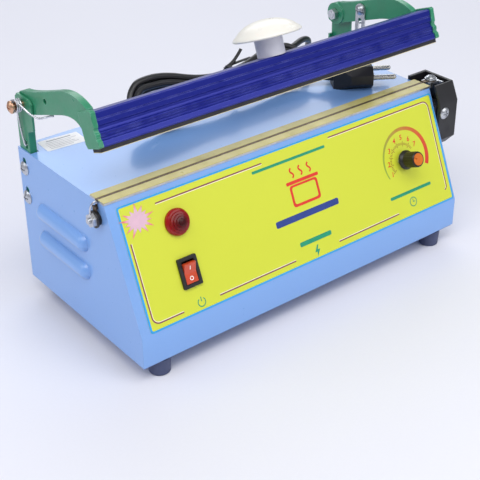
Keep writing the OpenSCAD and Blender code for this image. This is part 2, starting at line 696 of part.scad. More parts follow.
// ---- torsion springs outside the posts ----
module torsion_spring() {
    coil = [for (i = [0 : 3]) x_web + 1.9 + i * 1.6];
    on_pivot = [0, pivot_y, pivot_z];
    for (x = coil) translate([x, pivot_y, pivot_z]) rotate([0, 90, 0])
        rotate_extrude() translate([spring_r, 0]) circle(spring_wire, $fn = 12);
    // short bridges join the turns
    for (i = [0 : 2]) translate([coil[i], pivot_y + spring_r * cos(40 * i), pivot_z + spring_r * sin(40 * i)])
        rod_x(1.2, 1.6);
    // fixed leg: down the web and into its slot
    tube([[coil[0], pivot_y + spring_r, pivot_z], [coil[0] - 0.2, pivot_y + spring_r + 0.5, pivot_z - 8],
        [coil[0] - 0.2, pivot_y + 3, hook_z + 13], [coil[0] - 0.6, hook_y + 0.7, hook_z + 3.5],
        [coil[0] - 1.4, hook_y, hook_z], [x_web - 2.6, hook_y, hook_z - 0.4]], spring_wire, 6);
}

// Moving leg: under the edge of the arm, in the frame of the arm
module spring_leg() on_arm() tube([[x_web + 6.7, 1, -spring_r], [x_web + 6, -9, -9.6],
    [x_web + 3.2, -15, -11.2], [x_web - 0.6, -19, -10.9], [x_arm_out - 3, -24, -10.6],
    [x_arm_out - 4.4, -29, -10.8]], spring_wire, 6);

module torsion_springs() color(c_steel) both_sides() union() {
    torsion_spring();
    spring_leg();
}

// ======== link and microswitch ========

module link_screw() color(c_steel) on_arm() union() {
    translate([link_x - 0.8, -link_u, 0]) rotate([0, -90, 0]) pan_screw(4, 8, 8, 2.4);
    translate([link_x - 0.8, -link_u, 0]) rotate([0, 90, 0]) washer(9.6, 3.9, 0.6);
}

module switch_link() color(c_steel) difference() {
    prism_x(link_x, link_x + link_t) translate([link_pin_y, link_pin_z]) difference() {
        union() {
            circle(d = link_w);
            translate([-link_w / 2, -link_len]) square([link_w, link_len]);
        }
        circle(d = 4.1);
        translate([-2, -27]) square([4, 18]);
        translate([0, -9]) circle(2);
        translate([0, -27]) circle(2);
    }
}

module microswitch_body() color(c_black) difference() {
    union() {
        box_at([micro_x0, micro_y0, micro_z], [x_web - 1.5, micro_y0 + micro_l, micro_z + micro_h]);
        // ears and pin for the lever
        for (x = [lever_x0 - 1.1, lever_x1 + 0.3]) box_at([x, lever_y - 0.8, micro_z + micro_h - 1],
            [x + 0.8, lever_y + 1.8, lever_z + 0.2]);
        translate([lever_x0 - 1.1, lever_y + 0.5, lever_pin_z]) rod_x(1, lever_x1 - lever_x0 + 2.2);
        // button
        translate([x_web - 1.5 - micro_t / 2, micro_y0 + 9, micro_z + micro_h - 1]) cylinder(d = 3, h = 1.8);
    }
    for (at = micro_screws) translate([micro_x0 - 3, at[0], at[1]]) rod_x(3.1, 20);
}

module microswitch_lever() color(c_steel) difference() {
    union() {
        box_at([lever_x0, micro_y0 - 4, lever_z - 0.5], [lever_x1, lever_y + 0.5, lever_z]);
        translate([lever_x0, lever_y + 0.5, lever_pin_z]) rod_x(2.2, lever_x1 - lever_x0);
    }
    translate([lever_x0 - 1, lever_y + 0.5, lever_pin_z]) rod_x(1.1, lever_x1 - lever_x0 + 2);
}

module microswitch_bracket() color(c_steel) union() {
    box_at([x_web - 1.5, micro_y0 - 3, micro_z - 4], [x_web, micro_y0 + micro_l + 3, micro_z + micro_h + 1]);
    for (at = micro_screws) translate([micro_x0, at[0], at[1]]) {
        translate([-0.1, 0, 0]) rod_x(3, micro_t + 0.6);
        translate([-1.6, 0, 0]) rod_x(5.4, 1.6);
    }
}

// ======== transformer and timer board ========

// Stack of laminations with two windows for the winding
module transformer_core() color([0.30, 0.30, 0.33]) translate(core_at) difference() {
    translate([-core_w / 2, -core_d / 2, 0]) cube([core_w, core_d, core_h]);
    for (sx = [-1, 1]) translate([sx * 21 - 7, -core_d / 2 - 1, 14]) cube([14, core_d + 2, core_h - 28]);
    for (sx = [-1, 1], z = [5.5, core_h - 5.5]) translate([sx * 36, core_d / 2 + 1, z])
        rotate([90, 0, 0]) cylinder(d = 4.5, h = core_d + 2);
}

// Winding on a flanged bobbin round the middle limb
module transformer_coil() color([0.62, 0.30, 0.14]) translate(core_at) difference() {
    translate([0, 0, 14.4]) union() {
        rounded_plate(53, core_d + 26, 9, core_h - 28.8);
    }
    for (sx = [-1, 1]) translate([sx * 42 - 14.1, -core_d / 2 - 0.4, 0]) cube([28.2, core_d + 0.8, core_h]);
    translate([-14, -core_d / 2 - 0.1, 0]) cube([28, core_d + 0.2, core_h]);
}

// Steel strap over the core, its feet folded out on to the base plate
module transformer_clamp() color(c_steel) translate([core_at[0], core_at[1], z_floor]) difference() {
    union() {
        for (sx = [-1, 1]) {
            translate([sx * (core_w / 2 + 0.8) - 0.8, -15, 0]) cube([1.6, 30, core_h + 5.6]);
            translate([sx * (core_w / 2 + 7.5) - 7.5, -15, 0]) cube([15, 30, 1.6]);
        }
        translate([-core_w / 2 - 1.6, -15, core_h + 4]) cube([core_w + 3.2, 30, 1.6]);
        // rails that keep the core off the base
        translate([-core_w / 2, -15, 0]) cube([core_w, 30, 4]);
    }
    for (sx = [-1, 1]) translate([sx * (core_w / 2 + 10), 0, -1]) cylinder(d = 4.2, h = 4);
}

module timer_board() translate(board_at) {
    color([0.10, 0.36, 0.20]) difference() {
        cube([board_l, board_w, 1.6]);
        for (x = [4, board_l - 4], y = [4, board_w - 4]) translate([x, y, -1]) cylinder(d = 3.2, h = 4);
    }
    // spacers
    color(c_ivory) for (x = [4, board_l - 4], y = [4, board_w - 4]) translate([x, y, -8])
        cylinder(d = 6, h = 8);
    // relay, capacitor, thyristor on its cooling fin, connector, small parts
    color([0.12, 0.25, 0.62]) translate([8, 8, 1.6]) cube([19, 15.5, 15]);
    color([0.10, 0.10, 0.14]) translate([38, 13, 1.6]) cylinder(d = 10, h = 16);
    color(c_black) translate([12, 31, 1.6]) cube([10.4, 4.6, 15]);
    color(c_alu) translate([8, 36, 1.6]) cube([18, 1.6, 20]);
    color([0.20, 0.55, 0.35]) translate([32, 30, 1.6]) cube([15, 8, 10]);
    color([0.75, 0.65, 0.45]) for (i = [0 : 3]) translate([46.5, 9 + i * 4.5, 2.9]) rod_x(2.6, 6.5);
}

// ======== controls on the sloped front ========

module potentiometer() color(c_steel) on_slope(dial_at) difference() {
    union() {
        translate([0, 0, -sheet_t - 9]) cylinder(d = 16.5, h = 9);
        translate([0, 0, -sheet_t - eps]) cylinder(d = 7, h = sheet_t + 4.6);
        translate([-7.5, -16, -sheet_t - 2.2]) cube([15, 10, 1.2]);
    }
    translate([0, 0, -20]) cylinder(d = 6.1, h = 30);
}

module pot_nut() color(c_steel) on_slope(dial_at) translate([0, 0, label_t]) hex_nut(10, 2, 7);

module pot_shaft() color(c_brass) on_slope(dial_at) translate([0, 0, -9.4]) cylinder(d = 6, h = 21);

// Skirted knob; its pointer groove starts from the turned cap
module timer_knob() color(c_black) on_slope(dial_at) translate([0, 0, knob_base])
    rotate(dial_turn) difference() {
    union() {
        rotate_extrude() polygon([[0, 0], [dial_d / 2 - 0.4, 0], [dial_d / 2, 0.5], [dial_d / 2, 1.6],
            [dial_d / 2 - 0.8, 2.8], [6, 3.6], [5.8, dial_h - knob_base - 0.4],
            [5.4, dial_h - knob_base], [0, dial_h - knob_base]]);
        // fine grips round the body
        for (i = [0 : 17]) rotate(i * 20) translate([5.8, -0.35, 3.4])
            cube([0.3, 0.7, dial_h - knob_base - 4.7]);
    }
    translate([0, 0, dial_h - knob_base - 1]) cylinder(d = 9.6, h = 2);
    translate([0, 0, -1]) cylinder(d = 6, h = 10.2);
    // room for the threaded bush
    translate([0, 0, -1]) cylinder(d = 7.8, h = 3.4);
}

module timer_knob_cap() color([0.90, 0.50, 0.14]) on_slope(dial_at)
    translate([0, 0, dial_h - 1]) rotate(dial_turn) difference() {
    cylinder(d = 9.4, h = 1.1);
    // pointer groove
    translate([-0.5, 1.4, 0.5]) cube([1, 5, 2]);
}

// Stepped lens: rings rising to a blunt middle
module indicator_lens() color([0.70, 0.08, 0.10]) on_slope(lens_at) translate([0, 0, label_t])
    difference() {
    rotate_extrude() polygon([[0, 0], [lens_d / 2, 0], [lens_d / 2, 1.8], [lens_d / 2 - 0.9, 3.2],
        [7.2, 3.6], [7, 4.6], [5.6, 4.9], [5.4, 5.9], [4, 6.2], [3.8, 7], [2.4, 7.2], [2.2, 7.8],
        [0, 8]]);
    translate([0, 0, -1]) cylinder(d = 8, h = 4);
}

module lamp_holder() color(c_black) on_slope(lens_at) union() {
    translate([0, 0, -18]) cylinder(d = 12, h = 18 + label_t);
    translate([0, 0, -sheet_t - 2.6]) cylinder(d = 16, h = 2.4);
    translate([0, 0, -eps]) cylinder(d = 7.4, h = 3);
    for (x = [-2.5, 2.5]) translate([x - 0.4, -1.4, -24]) cube([0.8, 2.8, 7]);
}

module switch_body() color(c_black) on_slope(switch_at) {
    difference() {
        union() {
            translate([0, 0, label_t]) rounded_plate(switch_w, switch_h, 0.8, 1.9);
            translate([-6.45, -9.4, -13]) cube([12.9, 18.8, 13.4]);
            for (i = [-1 : 0]) translate([-0.4, i * 7 + 1, -20]) cube([0.8, 4.8, 8]);
        }
        // well for the rocker
        translate([-5, -8.1, -7.6]) cube([10, 16.2, 12]);
    }
    // pin across the well
    translate([-5.5, 0, rocker_pin_z]) rod_x(1.9, 11);
}

// Two-sided rocker, its lower half pressed in at rest
module switch_rocker() color([0.84, 0.28, 0.16]) on_slope(switch_at)
    translate([-4.7, 0, rocker_pin_z]) rotate([rocker_tilt, 0, 0]) rotate([90, 0, 90])
    linear_extrude(9.4) difference() {
        polygon([[-7, 4.5], [-0.6, 3], [0.6, 3], [7, 4.5], [7.2, 3.6], [6.4, -0.5], [2.5, -2.6],
            [-2.5, -2.6], [-6.4, -0.5], [-7.2, 3.6]]);
        circle(1);
    }

// ======== wiring ========

module wire(points, r) tube(smooth_path(points, 4), r, 6);

module wiring() {
    color(c_wire_red) for (route = ribbon_wires) wire(route, ribbon_wire_r);
    color(c_black) for (route = mains_wires) wire(route, mains_wire_r);
    color(c_white) wire(lamp_wire, signal_wire_r);
    color(c_yellow) wire(timer_wire, signal_wire_r);
    color(c_black) wire(micro_wire, signal_wire_r);
}

// ======== cord ========

module cord_gland() color(c_black) translate(gland_at) rotate([-90, 0, 0]) difference() {
    union() {
        translate([0, 0, -9]) cylinder(d = 10, h = 9.2);
        cylinder(d = 14, h = 2);
        translate([0, 0, 2 - eps]) cylinder(d1 = 11, d2 = 7.4, h = gland_out - 2);
    }
    translate([0, 0, -10]) cylinder(d = cord_d - plug_grip, h = gland_out + 20);
}

module power_cord() color(c_black) tube(smooth_path(lead_in, 4), cord_r);
module plug_lead() color(c_black) tube(smooth_path(lead_out, 3), cord_r);

// Outline of the wound hank: two full ends and a waist drawn in by the tie
function hank_w(x) = hank_waist + (hank_end - hank_waist) * pow(sin(90 * min(1, abs(x) / 58)), 2);
hank_reach = hank_half - hank_end;
hank_edge = concat(
    [for (i = [-12 : 12]) let (x = i / 12 * hank_reach) [x, hank_w(x)]],
    [for (k = [1 : 11]) [hank_reach + hank_end * sin(15 * k), hank_end * cos(15 * k)]],
    [for (i = [12 : -1 : -12]) let (x = i / 12 * hank_reach) [x, -hank_w(x)]],
    [for (k = [1 : 11]) [-hank_reach - hank_end * sin(15 * k), -hank_end * cos(15 * k)]]);

module on_hank() translate(hank_at) rotate([hank_tilt, 0, 0]) children();

module cord_hank() color(c_black) on_hank() translate([0, 0, -hank_t / 2]) linear_extrude(hank_t)
    difference() {
        polygon(hank_edge);
        // eyes of the two end loops
        for (s = [-1, 1]) translate([s * (hank_reach - 8), 0]) rounded_outline(24, 7, 3.4);
    }

// Band round the waist with two loose ends standing up from it
module twist_tie() color(c_black) union() {
    translate([tie_x, hank_at[1], hank_at[2]]) rotate([hank_tilt, 0, 0]) rotate([0, 90, 0]) difference() {
        translate([0, 0, -1.2]) linear_extrude(2.4)
            rounded_outline(hank_t + 2.4, 2 * hank_waist + 3.6, 5);
        translate([0, 0, -3]) linear_extrude(6) rounded_outline(hank_t + 0.2, 2 * hank_waist + 1.6, 4);
    }
    translate([tie_x, 49, 0]) rotate([90, 0, 0]) linear_extrude(4) {
        polygon(tie_end_up);
        polygon(tie_end_level);
    }
}

module on_plug() translate(plug_at) rotate(plug_turn) children();

// Moulded two-pin plug lying flat, its pins towards +X before it is turned
module plug_body() color(c_black) on_plug() difference() {
    union() {
        intersection() {
            translate([-plug_l, 0, 0]) rotate([90, 0, 90]) linear_extrude(plug_l)
                polygon([[-15, 3.6], [-15, -3.6], [-8.6, -9], [8.6, -9], [15, -3.6], [15, 3.6],
                    [8.6, 9], [-8.6, 9]]);
            translate([0, 0, -10]) linear_extrude(20) polygon([[0, -14], [0, 14], [-2, 15], [-18, 15],
                [-26, 9.4], [-plug_l, 6.8], [-plug_l, -6.8], [-26, -9.4], [-18, -15], [-2, -15]]);
        }
        translate([-plug_l - plug_neck, 0, 0]) rotate([0, 90, 0])
            cylinder(d1 = 7, d2 = 9.4, h = plug_neck + 1);
    }
    translate([-plug_l - plug_neck - 1, 0, 0]) rod_x(cord_d - plug_grip, 16);
    for (s = [-1, 1]) translate([-6, s * pin_gap / 2, 0]) rod_x(pin_d, 8);
}

module plug_pins() color(c_steel) on_plug() for (s = [-1, 1]) translate([-6, s * pin_gap / 2, 0]) union() {
    rod_x(pin_d, pin_l + 4);
    translate([pin_l + 4, 0, 0]) sphere(d = pin_d);
}

// ======== drawing ========

place() housing_shell();
place() base_plate();
place() base_screws();
place() rubber_feet();
place() foot_screws();
place() labels();
place() jaw_bar();
place() jaw_nuts();
place() jaw_pad();
place() heating_element();
place() ptfe_strips();
place() terminal_bolt_left();
place() terminal_washers_left();
place() terminal_nut_left();
place() tension_block();
place() tension_clip();
place() tension_spring();
place() tension_screw();
place() terminal_cover();
place() cover_screw();
place() hinge_post_left();
place() hinge_post_right();
place() post_screws();
place() pivot_bolts();
place() pivot_nuts();
place() arm_left();
place() arm_right();
place() press_bar();
place() press_rubber();
place() press_tape();
place() torsion_springs();
place() knob_stem();
place() knob_stud();
place() push_knob();
place() link_screw();
place() switch_link();
place() microswitch_body();
place() microswitch_lever();
place() microswitch_bracket();
place() transformer_core();
place() transformer_coil();
place() transformer_clamp();
place() timer_board();
place() potentiometer();
place() pot_nut();
place() pot_shaft();
place() timer_knob();
place() timer_knob_cap();
place() indicator_lens();
place() lamp_holder();
place() switch_body();
place() switch_rocker();
place() wiring();
place() cord_gland();
place() power_cord();
place() cord_hank();
place() plug_lead();
place() twist_tie();
place() plug_body();
place() plug_pins();
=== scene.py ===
import math

import bmesh
import bpy
from mathutils import Matrix, Vector


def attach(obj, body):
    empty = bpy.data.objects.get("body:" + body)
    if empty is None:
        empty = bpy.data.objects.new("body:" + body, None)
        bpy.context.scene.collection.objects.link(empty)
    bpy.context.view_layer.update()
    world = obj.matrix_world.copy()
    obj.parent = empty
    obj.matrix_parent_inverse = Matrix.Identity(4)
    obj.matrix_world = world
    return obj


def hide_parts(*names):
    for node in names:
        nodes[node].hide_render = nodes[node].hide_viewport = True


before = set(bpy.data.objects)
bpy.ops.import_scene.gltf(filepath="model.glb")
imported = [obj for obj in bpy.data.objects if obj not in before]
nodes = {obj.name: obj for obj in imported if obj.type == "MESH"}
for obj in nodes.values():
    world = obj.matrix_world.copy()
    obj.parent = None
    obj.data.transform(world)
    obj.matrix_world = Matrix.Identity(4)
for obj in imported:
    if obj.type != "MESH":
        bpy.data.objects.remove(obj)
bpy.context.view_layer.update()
scene = bpy.context.scene

# ======== places, in millimetres from the centre of the box's footprint ========
SHIFT = Vector((-5.0, 0.0, 0.0))
Y_LIP, Z_LIP, Z_TOP = -74.0, 37.0, 121.0
SLOPE = math.atan2(36.0, 84.0)
UP = Vector((0, math.sin(SLOPE), math.cos(SLOPE)))
OUT = Vector((0, -math.cos(SLOPE), math.sin(SLOPE)))
PIVOT = (62.0, 157.0)
ARM_OPEN = math.radians(20.7)
LENS, SWITCH, DIAL, SWEEP_AT = (-102.0, 65.0), (-103.0, 30.5), (105.5, 45.6), (109.0, 46.5)
FILM_X, FILM_V = (-142.5, 148.8), (1.2, 87.6)
FILM_T, UNDER_TOP, INK_TOP = 0.25, 0.30, 0.31
BURST_AT, BURST_TOP = (-129.5, 75.2), 0.38
DIGIT_HEIGHT = 5.4


def at(x, y, z):
    return (Vector((x, y, z)) + SHIFT) / 1000


def on_panel(x, v):
    """A point of the sloped front, v up from the lip."""
    return at(x, Y_LIP + v * math.sin(SLOPE), Z_LIP + v * math.cos(SLOPE))


def on_arm(x, y, z):
    """A point given in the frame of the closed arm, turned up to the rest position."""
    c, s = math.cos(ARM_OPEN), math.sin(ARM_OPEN)
    return at(x, PIVOT[0] + y * c + z * s, PIVOT[1] - y * s + z * c)


def frame_matrix(origin, x_axis, y_axis, z_axis):
    m = Matrix((x_axis, y_axis, z_axis)).transposed().to_4x4()
    m.translation = origin
    return m


PANEL = frame_matrix(at(0, Y_LIP, Z_LIP), Vector((1, 0, 0)), UP, OUT)
TOP = frame_matrix(at(0, 0, Z_TOP), Vector((1, 0, 0)), Vector((0, 1, 0)), Vector((0, 0, 1)))


def smooth_path(points, n):
    """Catmull-Rom curve through the points, n steps between two of them."""
    p = [Vector(q) for q in points]
    out = []
    for i in range(len(p) - 1):
        a, b, c, d = p[max(i - 1, 0)], p[i], p[i + 1], p[min(i + 2, len(p) - 1)]
        for k in range(n):
            t = k / n
            out.append(0.5 * (2 * b + (c - a) * t + (2 * a - 5 * b + 4 * c - d) * t * t
                              + (3 * b - a - 3 * c + d) * t ** 3))
    return out + [p[-1]]


# ======== materials ========
def rgb(r, g, b):
    """Linear colour of an sRGB one given as 0 to 255."""
    f = lambda v: v / 12.92 if v <= 0.04045 else ((v + 0.055) / 1.055) ** 2.4
    return tuple(f(v / 255) for v in (r, g, b)) + (1.0,)


class Finish:
    """A procedural material, its patterns laid out in metres on the object."""

    def __init__(self, name, colour, rough, metal=0.0, **sockets):
        self.mat = bpy.data.materials.new(name)
        self.mat.use_nodes = True
        self.tree = self.mat.node_tree
        self.shader = self.tree.nodes["Principled BSDF"]
        self.colour, self.rough, self.normal = colour, rough, None
        self.shader.inputs["Metallic"].default_value = metal
        for key, value in sockets.items():
            self.shader.inputs[key.replace("_", " ")].default_value = value
        coord = self.tree.nodes.new("ShaderNodeTexCoord")
        self.coord = coord.outputs["Object"]
        self.mat.diffuse_color = colour

    def node(self, kind, settings=(), **inputs):
        n = self.tree.nodes.new(kind)
        for key, value in dict(settings).items():
            setattr(n, key, value)
        for key, value in inputs.items():
            socket = n.inputs[int(key[1:]) if key[0] == "i" and key[1:].isdigit() else key.replace("_", " ")]
            if isinstance(value, bpy.types.NodeSocket):
                self.tree.links.new(value, socket)
            else:
                socket.default_value = value
        return n

    def stretched(self, x, y, z):
        return self.node("ShaderNodeMapping", Vector=self.coord, Scale=(x, y, z)).outputs[0]

    def noise(self, size, detail=3.0, coord=None):
        return self.node("ShaderNodeTexNoise", Vector=coord or self.coord, Scale=1 / size,
                         Detail=detail, Roughness=0.55).outputs["Fac"]

    def spots(self, size):
        return self.node("ShaderNodeTexVoronoi", Vector=self.coord, Scale=1 / size).outputs["Distance"]

    def lines(self, size, axis="X", shape="SIN"):
        """Straight stripes, each about size wide."""
        return self.node("ShaderNodeTexWave", dict(bands_direction=axis, wave_profile=shape),
                         Vector=self.coord, Scale=0.314 / size, Detail=1.0).outputs["Fac"]

    def span(self, value, low, high, to_low=0.0, to_high=1.0, clamp=True):
        return self.node("ShaderNodeMapRange", dict(clamp=clamp), i0=value, i1=low, i2=high, i3=to_low,
                         i4=to_high).outputs[0]

    def math(self, how, a, b):
        return self.node("ShaderNodeMath", dict(operation=how), i0=a, i1=b).outputs[0]

    def vector(self, how, a, b):
        return self.node("ShaderNodeVectorMath", dict(operation=how), i0=a, i1=b)

    def mix(self, fac, a, b):
        n = self.node("ShaderNodeMix", dict(data_type="RGBA"))
        for socket, value in ((n.inputs[0], fac), (n.inputs[6], a), (n.inputs[7], b)):
            if isinstance(value, bpy.types.NodeSocket):
                self.tree.links.new(value, socket)
            else:
                socket.default_value = value
        return n.outputs[2]

    def tint(self, fac, colour, low=0.0, high=1.0, amount=1.0):
        """Lays colour over the base where fac goes from low to high."""
        self.colour = self.mix(self.span(fac, low, high, 0.0, amount), self.colour, colour)
        return self

    def vary(self, size, amount):
        """Lighter and darker patches of this size."""
        base = self.colour
        shade = self.span(self.noise(size), 0.1, 0.9, 1 - 2 * amount, 1 + 2 * amount, False)
        scaled = self.node("ShaderNodeVectorMath", dict(operation="SCALE"))
        if isinstance(base, bpy.types.NodeSocket):
            self.tree.links.new(base, scaled.inputs[0])
        else:
            scaled.inputs[0].default_value = base[:3]
        self.tree.links.new(shade, scaled.inputs["Scale"])
        self.colour = scaled.outputs[0]
        return self

    def smudge(self, size, low, high):
        """Roughness between low and high in patches."""
        wide = (high - low) / 2
        self.rough = self.span(self.noise(size, 4.0), 0.1, 0.9, low - wide, high + wide, False)
        return self

    def round_edges(self, radius=0.0004):
        self.normal = self.node("ShaderNodeBevel", dict(samples=3), Radius=radius).outputs[0]
        return self

    def edge(self, radius=0.0008):
        """1 along sharp edges, 0 elsewhere."""
        bevel = self.node("ShaderNodeBevel", dict(samples=3), Radius=radius).outputs[0]
        geo = self.node("ShaderNodeNewGeometry").outputs["Normal"]
        return self.span(self.vector("DOT_PRODUCT", bevel, geo).outputs["Value"], 0.999, 0.93)

    def edge_wear_and_highlight(self, colour, radius=0.0008, amount=0.6, patch=0.006):
        """Edges painted lighter, unevenly: partly rubbed paint, partly a painted highlight along them."""
        where = self.math("MULTIPLY", self.edge(radius), self.span(self.noise(patch, 4), 0.35, 0.6))
        return self.tint(where, colour, amount=amount)

    def bump(self, height, strength, depth=0.0001):
        n = self.node("ShaderNodeBump", Height=height, Strength=strength, Distance=depth)
        if self.normal is not None:
            self.tree.links.new(self.normal, n.inputs["Normal"])
        self.normal = n.outputs[0]
        return self

    def done(self):
        for value, key in ((self.colour, "Base Color"), (self.rough, "Roughness"), (self.normal, "Normal")):
            if isinstance(value, bpy.types.NodeSocket):
                self.tree.links.new(value, self.shader.inputs[key])
            elif value is not None:
                self.shader.inputs[key].default_value = value
        return self.mat


def metal(name, colour, rough, grain=0.0006, depth=0.12, **sockets):
    f = Finish(name, colour, rough, 1.0, **sockets).round_edges(0.0003)
    f.vary(0.004, 0.10).smudge(0.003, rough * 0.7, rough * 1.4)
    return f.bump(f.noise(grain), depth, 0.00005).done()


def pivot_metal():
    """Brass at the left pivot, bright steel at the right one."""
    f = Finish("pivot_metal", rgb(216, 172, 142), 0.30, 1.0).round_edges(0.0003)
    x = f.node("ShaderNodeSeparateXYZ", i0=f.coord).outputs[0]
    f.tint(x, rgb(196, 199, 204), -0.001, 0.001).vary(0.004, 0.10).smudge(0.003, 0.21, 0.42)
    return f.bump(f.noise(0.0006), 0.12, 0.00005).done()


def plastic(name, colour, rough, grain=0.0004, depth=0.15, edge=0.0004, **sockets):
    f = Finish(name, colour, rough, **sockets).round_edges(edge)
    f.vary(0.012, 0.06).smudge(0.008, rough * 0.8, rough * 1.2)
    return f.bump(f.noise(grain), depth, 0.00004).done()


def painted(name, colour, rough, worn_and_lit_edge, **sockets):
    """Sprayed enamel with faint orange peel; edges painted lighter, partly as rubbed paint and partly as a
    painted highlight.
    """
    f = Finish(name, colour, rough, **sockets).round_edges(0.0005)
    f.vary(0.0012, 0.008).smudge(0.003, rough * 0.92, rough * 1.08)
    # lighter edges: partly rubbed paint, partly a painted highlight
    f.edge_wear_and_highlight(worn_and_lit_edge, 0.0005, 0.45)
    return f.bump(f.noise(0.0009, 2), 0.05, 0.00003).done()


M = {}
M["blue"] = painted("blue_box", rgb(126, 170, 232), 0.3, rgb(190, 210, 246), Coat_Weight=0.5,
                    Coat_Roughness=0.1)
M["base"] = painted("base_paint", rgb(112, 146, 206), 0.4, rgb(150, 170, 210))


def cast_green():
    f = Finish("green_paint", rgb(38, 134, 96), 0.36, Coat_Weight=0.3, Coat_Roughness=0.2)
    f.round_edges(0.0007).vary(0.02, 0.08).vary(0.0015, 0.05).smudge(0.01, 0.28, 0.48)
    # pale green edges: partly wear, partly a painted highlight
    f.edge_wear_and_highlight(rgb(136, 200, 176), 0.0011, 0.6, 0.004)
    f.bump(f.noise(0.003, 3), 0.3, 0.00015)
    return f.bump(f.spots(0.0009), 0.12, 0.00005).done()


def anodised():
    f = Finish("blue_anodised", rgb(15, 28, 136), 0.3, 0.45, Coat_Weight=0.1, Coat_Roughness=0.2)
    drawn = f.stretched(3, 420, 420)
    f.round_edges(0.0003)
    f.colour = f.mix(f.span(f.noise(1.0, 3, drawn), 0.1, 0.9, 0.0, 0.22), f.colour, rgb(26, 42, 152))
    f.tint(f.noise(0.0006, 2), rgb(98, 104, 196), 0.66, 0.8, 0.35)
    # pale blue edges: partly wear, partly the painted highlight of the bar's lit edges
    f.edge_wear_and_highlight(rgb(122, 130, 224), 0.0007, 0.5, 0.01)
    f.rough = f.span(f.noise(1.0, 3, drawn), 0.1, 0.9, 0.29, 0.34)
    f.bump(f.noise(1.0, 3, drawn), 0.03, 0.00003)
    return f.bump(f.noise(0.0005, 2), 0.06, 0.00003).done()


def glass_cloth():
    """Coated glass cloth: a fine square weave under a tan film, browned in patches."""
    f = Finish("cloth", rgb(170, 160, 84), 0.36, Coat_Weight=0.3, Coat_Roughness=0.3)
    warp, weft = f.lines(0.0008, "X"), f.lines(0.0008, "Y")
    weave = f.math("MULTIPLY", warp, weft)
    f.vary(0.02, 0.10).tint(weave, rgb(206, 196, 118), 0.1, 0.9, 0.45)
    f.tint(f.noise(0.012, 5), rgb(126, 108, 48), 0.58, 0.75, 0.35)
    f.smudge(0.006, 0.28, 0.5)
    f.bump(f.noise(0.018, 2), 0.4, 0.0003)
    return f.bump(weave, 0.3, 0.00005).done()


def rubber(name, colour, rough):
    f = Finish(name, colour, rough).round_edges(0.0005)
    f.vary(0.01, 0.12).tint(f.noise(0.02, 5), rgb(112, 110, 116), 0.55, 0.8, 0.16)
    f.smudge(0.006, rough * 0.85, rough * 1.15)
    return f.bump(f.noise(0.0007, 4), 0.3, 0.00008).done()


def cord_pvc():
    f = Finish("cord_pvc", rgb(25, 25, 28), 0.36, Coat_Weight=0.1, Coat_Roughness=0.3)
    f.vary(0.015, 0.15).smudge(0.01, 0.28, 0.46)
    f.bump(f.noise(0.006, 3), 0.25, 0.0003)
    return f.bump(f.noise(0.0006, 3), 0.15, 0.00005).done()


def ivory():
    f = Finish("ivory", rgb(232, 230, 222), 0.33, Subsurface_Weight=0.06, Subsurface_Scale=0.004)
    f.shader.inputs["Subsurface Radius"].default_value = (1.0, 0.8, 0.6)
    f.round_edges(0.0005).vary(0.03, 0.02).smudge(0.01, 0.26, 0.42)
    f.tint(f.noise(0.0025, 3), rgb(206, 200, 184), 0.68, 0.78, 0.3)
    return f.bump(f.noise(0.0008, 3), 0.15, 0.00005).done()


def lens_red():
    """Deep red moulding, darker towards its middle: painted shade of the dark, unlit lamp inside."""
    f = Finish("red_lens", rgb(150, 5, 12), 0.2, Coat_Weight=0.1, Coat_Roughness=0.1, Specular_IOR_Level=0.35)
    f.shader.inputs["Subsurface Weight"].default_value = 0.08
    f.shader.inputs["Subsurface Radius"].default_value = (0.9, 0.1, 0.1)
    f.shader.inputs["Subsurface Scale"].default_value = 0.002
    offset = f.vector("SUBTRACT", f.coord, tuple(on_panel(*LENS))).outputs[0]
    across = f.vector("CROSS_PRODUCT", offset, tuple(OUT)).outputs[0]
    off_axis = f.node("ShaderNodeVectorMath", dict(operation="LENGTH"), i0=across).outputs["Value"]
    # painted shade: the red darkens towards the lens's middle
    f.vary(0.004, 0.08).tint(off_axis, rgb(62, 3, 7), 0.0088, 0.0022)
    return f.round_edges(0.0003).done()


def winding():
    f = Finish("enamel_wire", rgb(150, 74, 34), 0.35)
    turns = f.lines(0.0009, "Z")
    # painted shade: darker in the grooves between turns
    f.vary(0.01, 0.15).tint(turns, rgb(70, 30, 14), 0.5, 0.0, 0.6)
    return f.bump(turns, 0.6, 0.0003).done()


def laminations():
    f = Finish("core_steel", rgb(78, 78, 84), 0.5, 0.6)
    sheets = f.lines(0.0012, "Y", shape="SAW")
    f.vary(0.01, 0.2).tint(sheets, rgb(40, 38, 40), 0.85, 1.0, 0.7)
    return f.bump(sheets, 0.4, 0.0002).done()


def board_green():
    f = Finish("board", rgb(22, 92, 52), 0.4, Coat_Weight=0.4, Coat_Roughness=0.15)
    tracks = f.spots(0.004)
    f.vary(0.02, 0.08).tint(tracks, rgb(60, 140, 84), 0.25, 0.3, 0.5)
    return f.bump(tracks, 0.1, 0.00005).done()


def film_yellow():
    """Printed film: clean yellow-green ink under a clear, faintly rippled skin."""
    f = Finish("label_film", rgb(212, 220, 58), 0.36, Coat_Weight=0.35, Coat_Roughness=0.12)
    f.vary(0.0005, 0.01).smudge(0.002, 0.34, 0.38)
    return f.bump(f.noise(0.0009, 2), 0.05, 0.00003).done()


def ink(name, colour, rough=0.36):
    f = Finish(name, colour, rough).vary(0.006, 0.06).smudge(0.006, rough * 0.9, rough * 1.1)
    return f.bump(f.noise(0.0006, 2), 0.05, 0.00002).done()


def dial_ink():
    """The dial's sweep, its colour stored on the faces from green round to red."""
    f = Finish("dial_ink", (1, 1, 1, 1), 0.36)
    f.colour = f.node("ShaderNodeVertexColor", dict(layer_name="sweep")).outputs["Color"]
    return f.vary(0.004, 0.05).done()


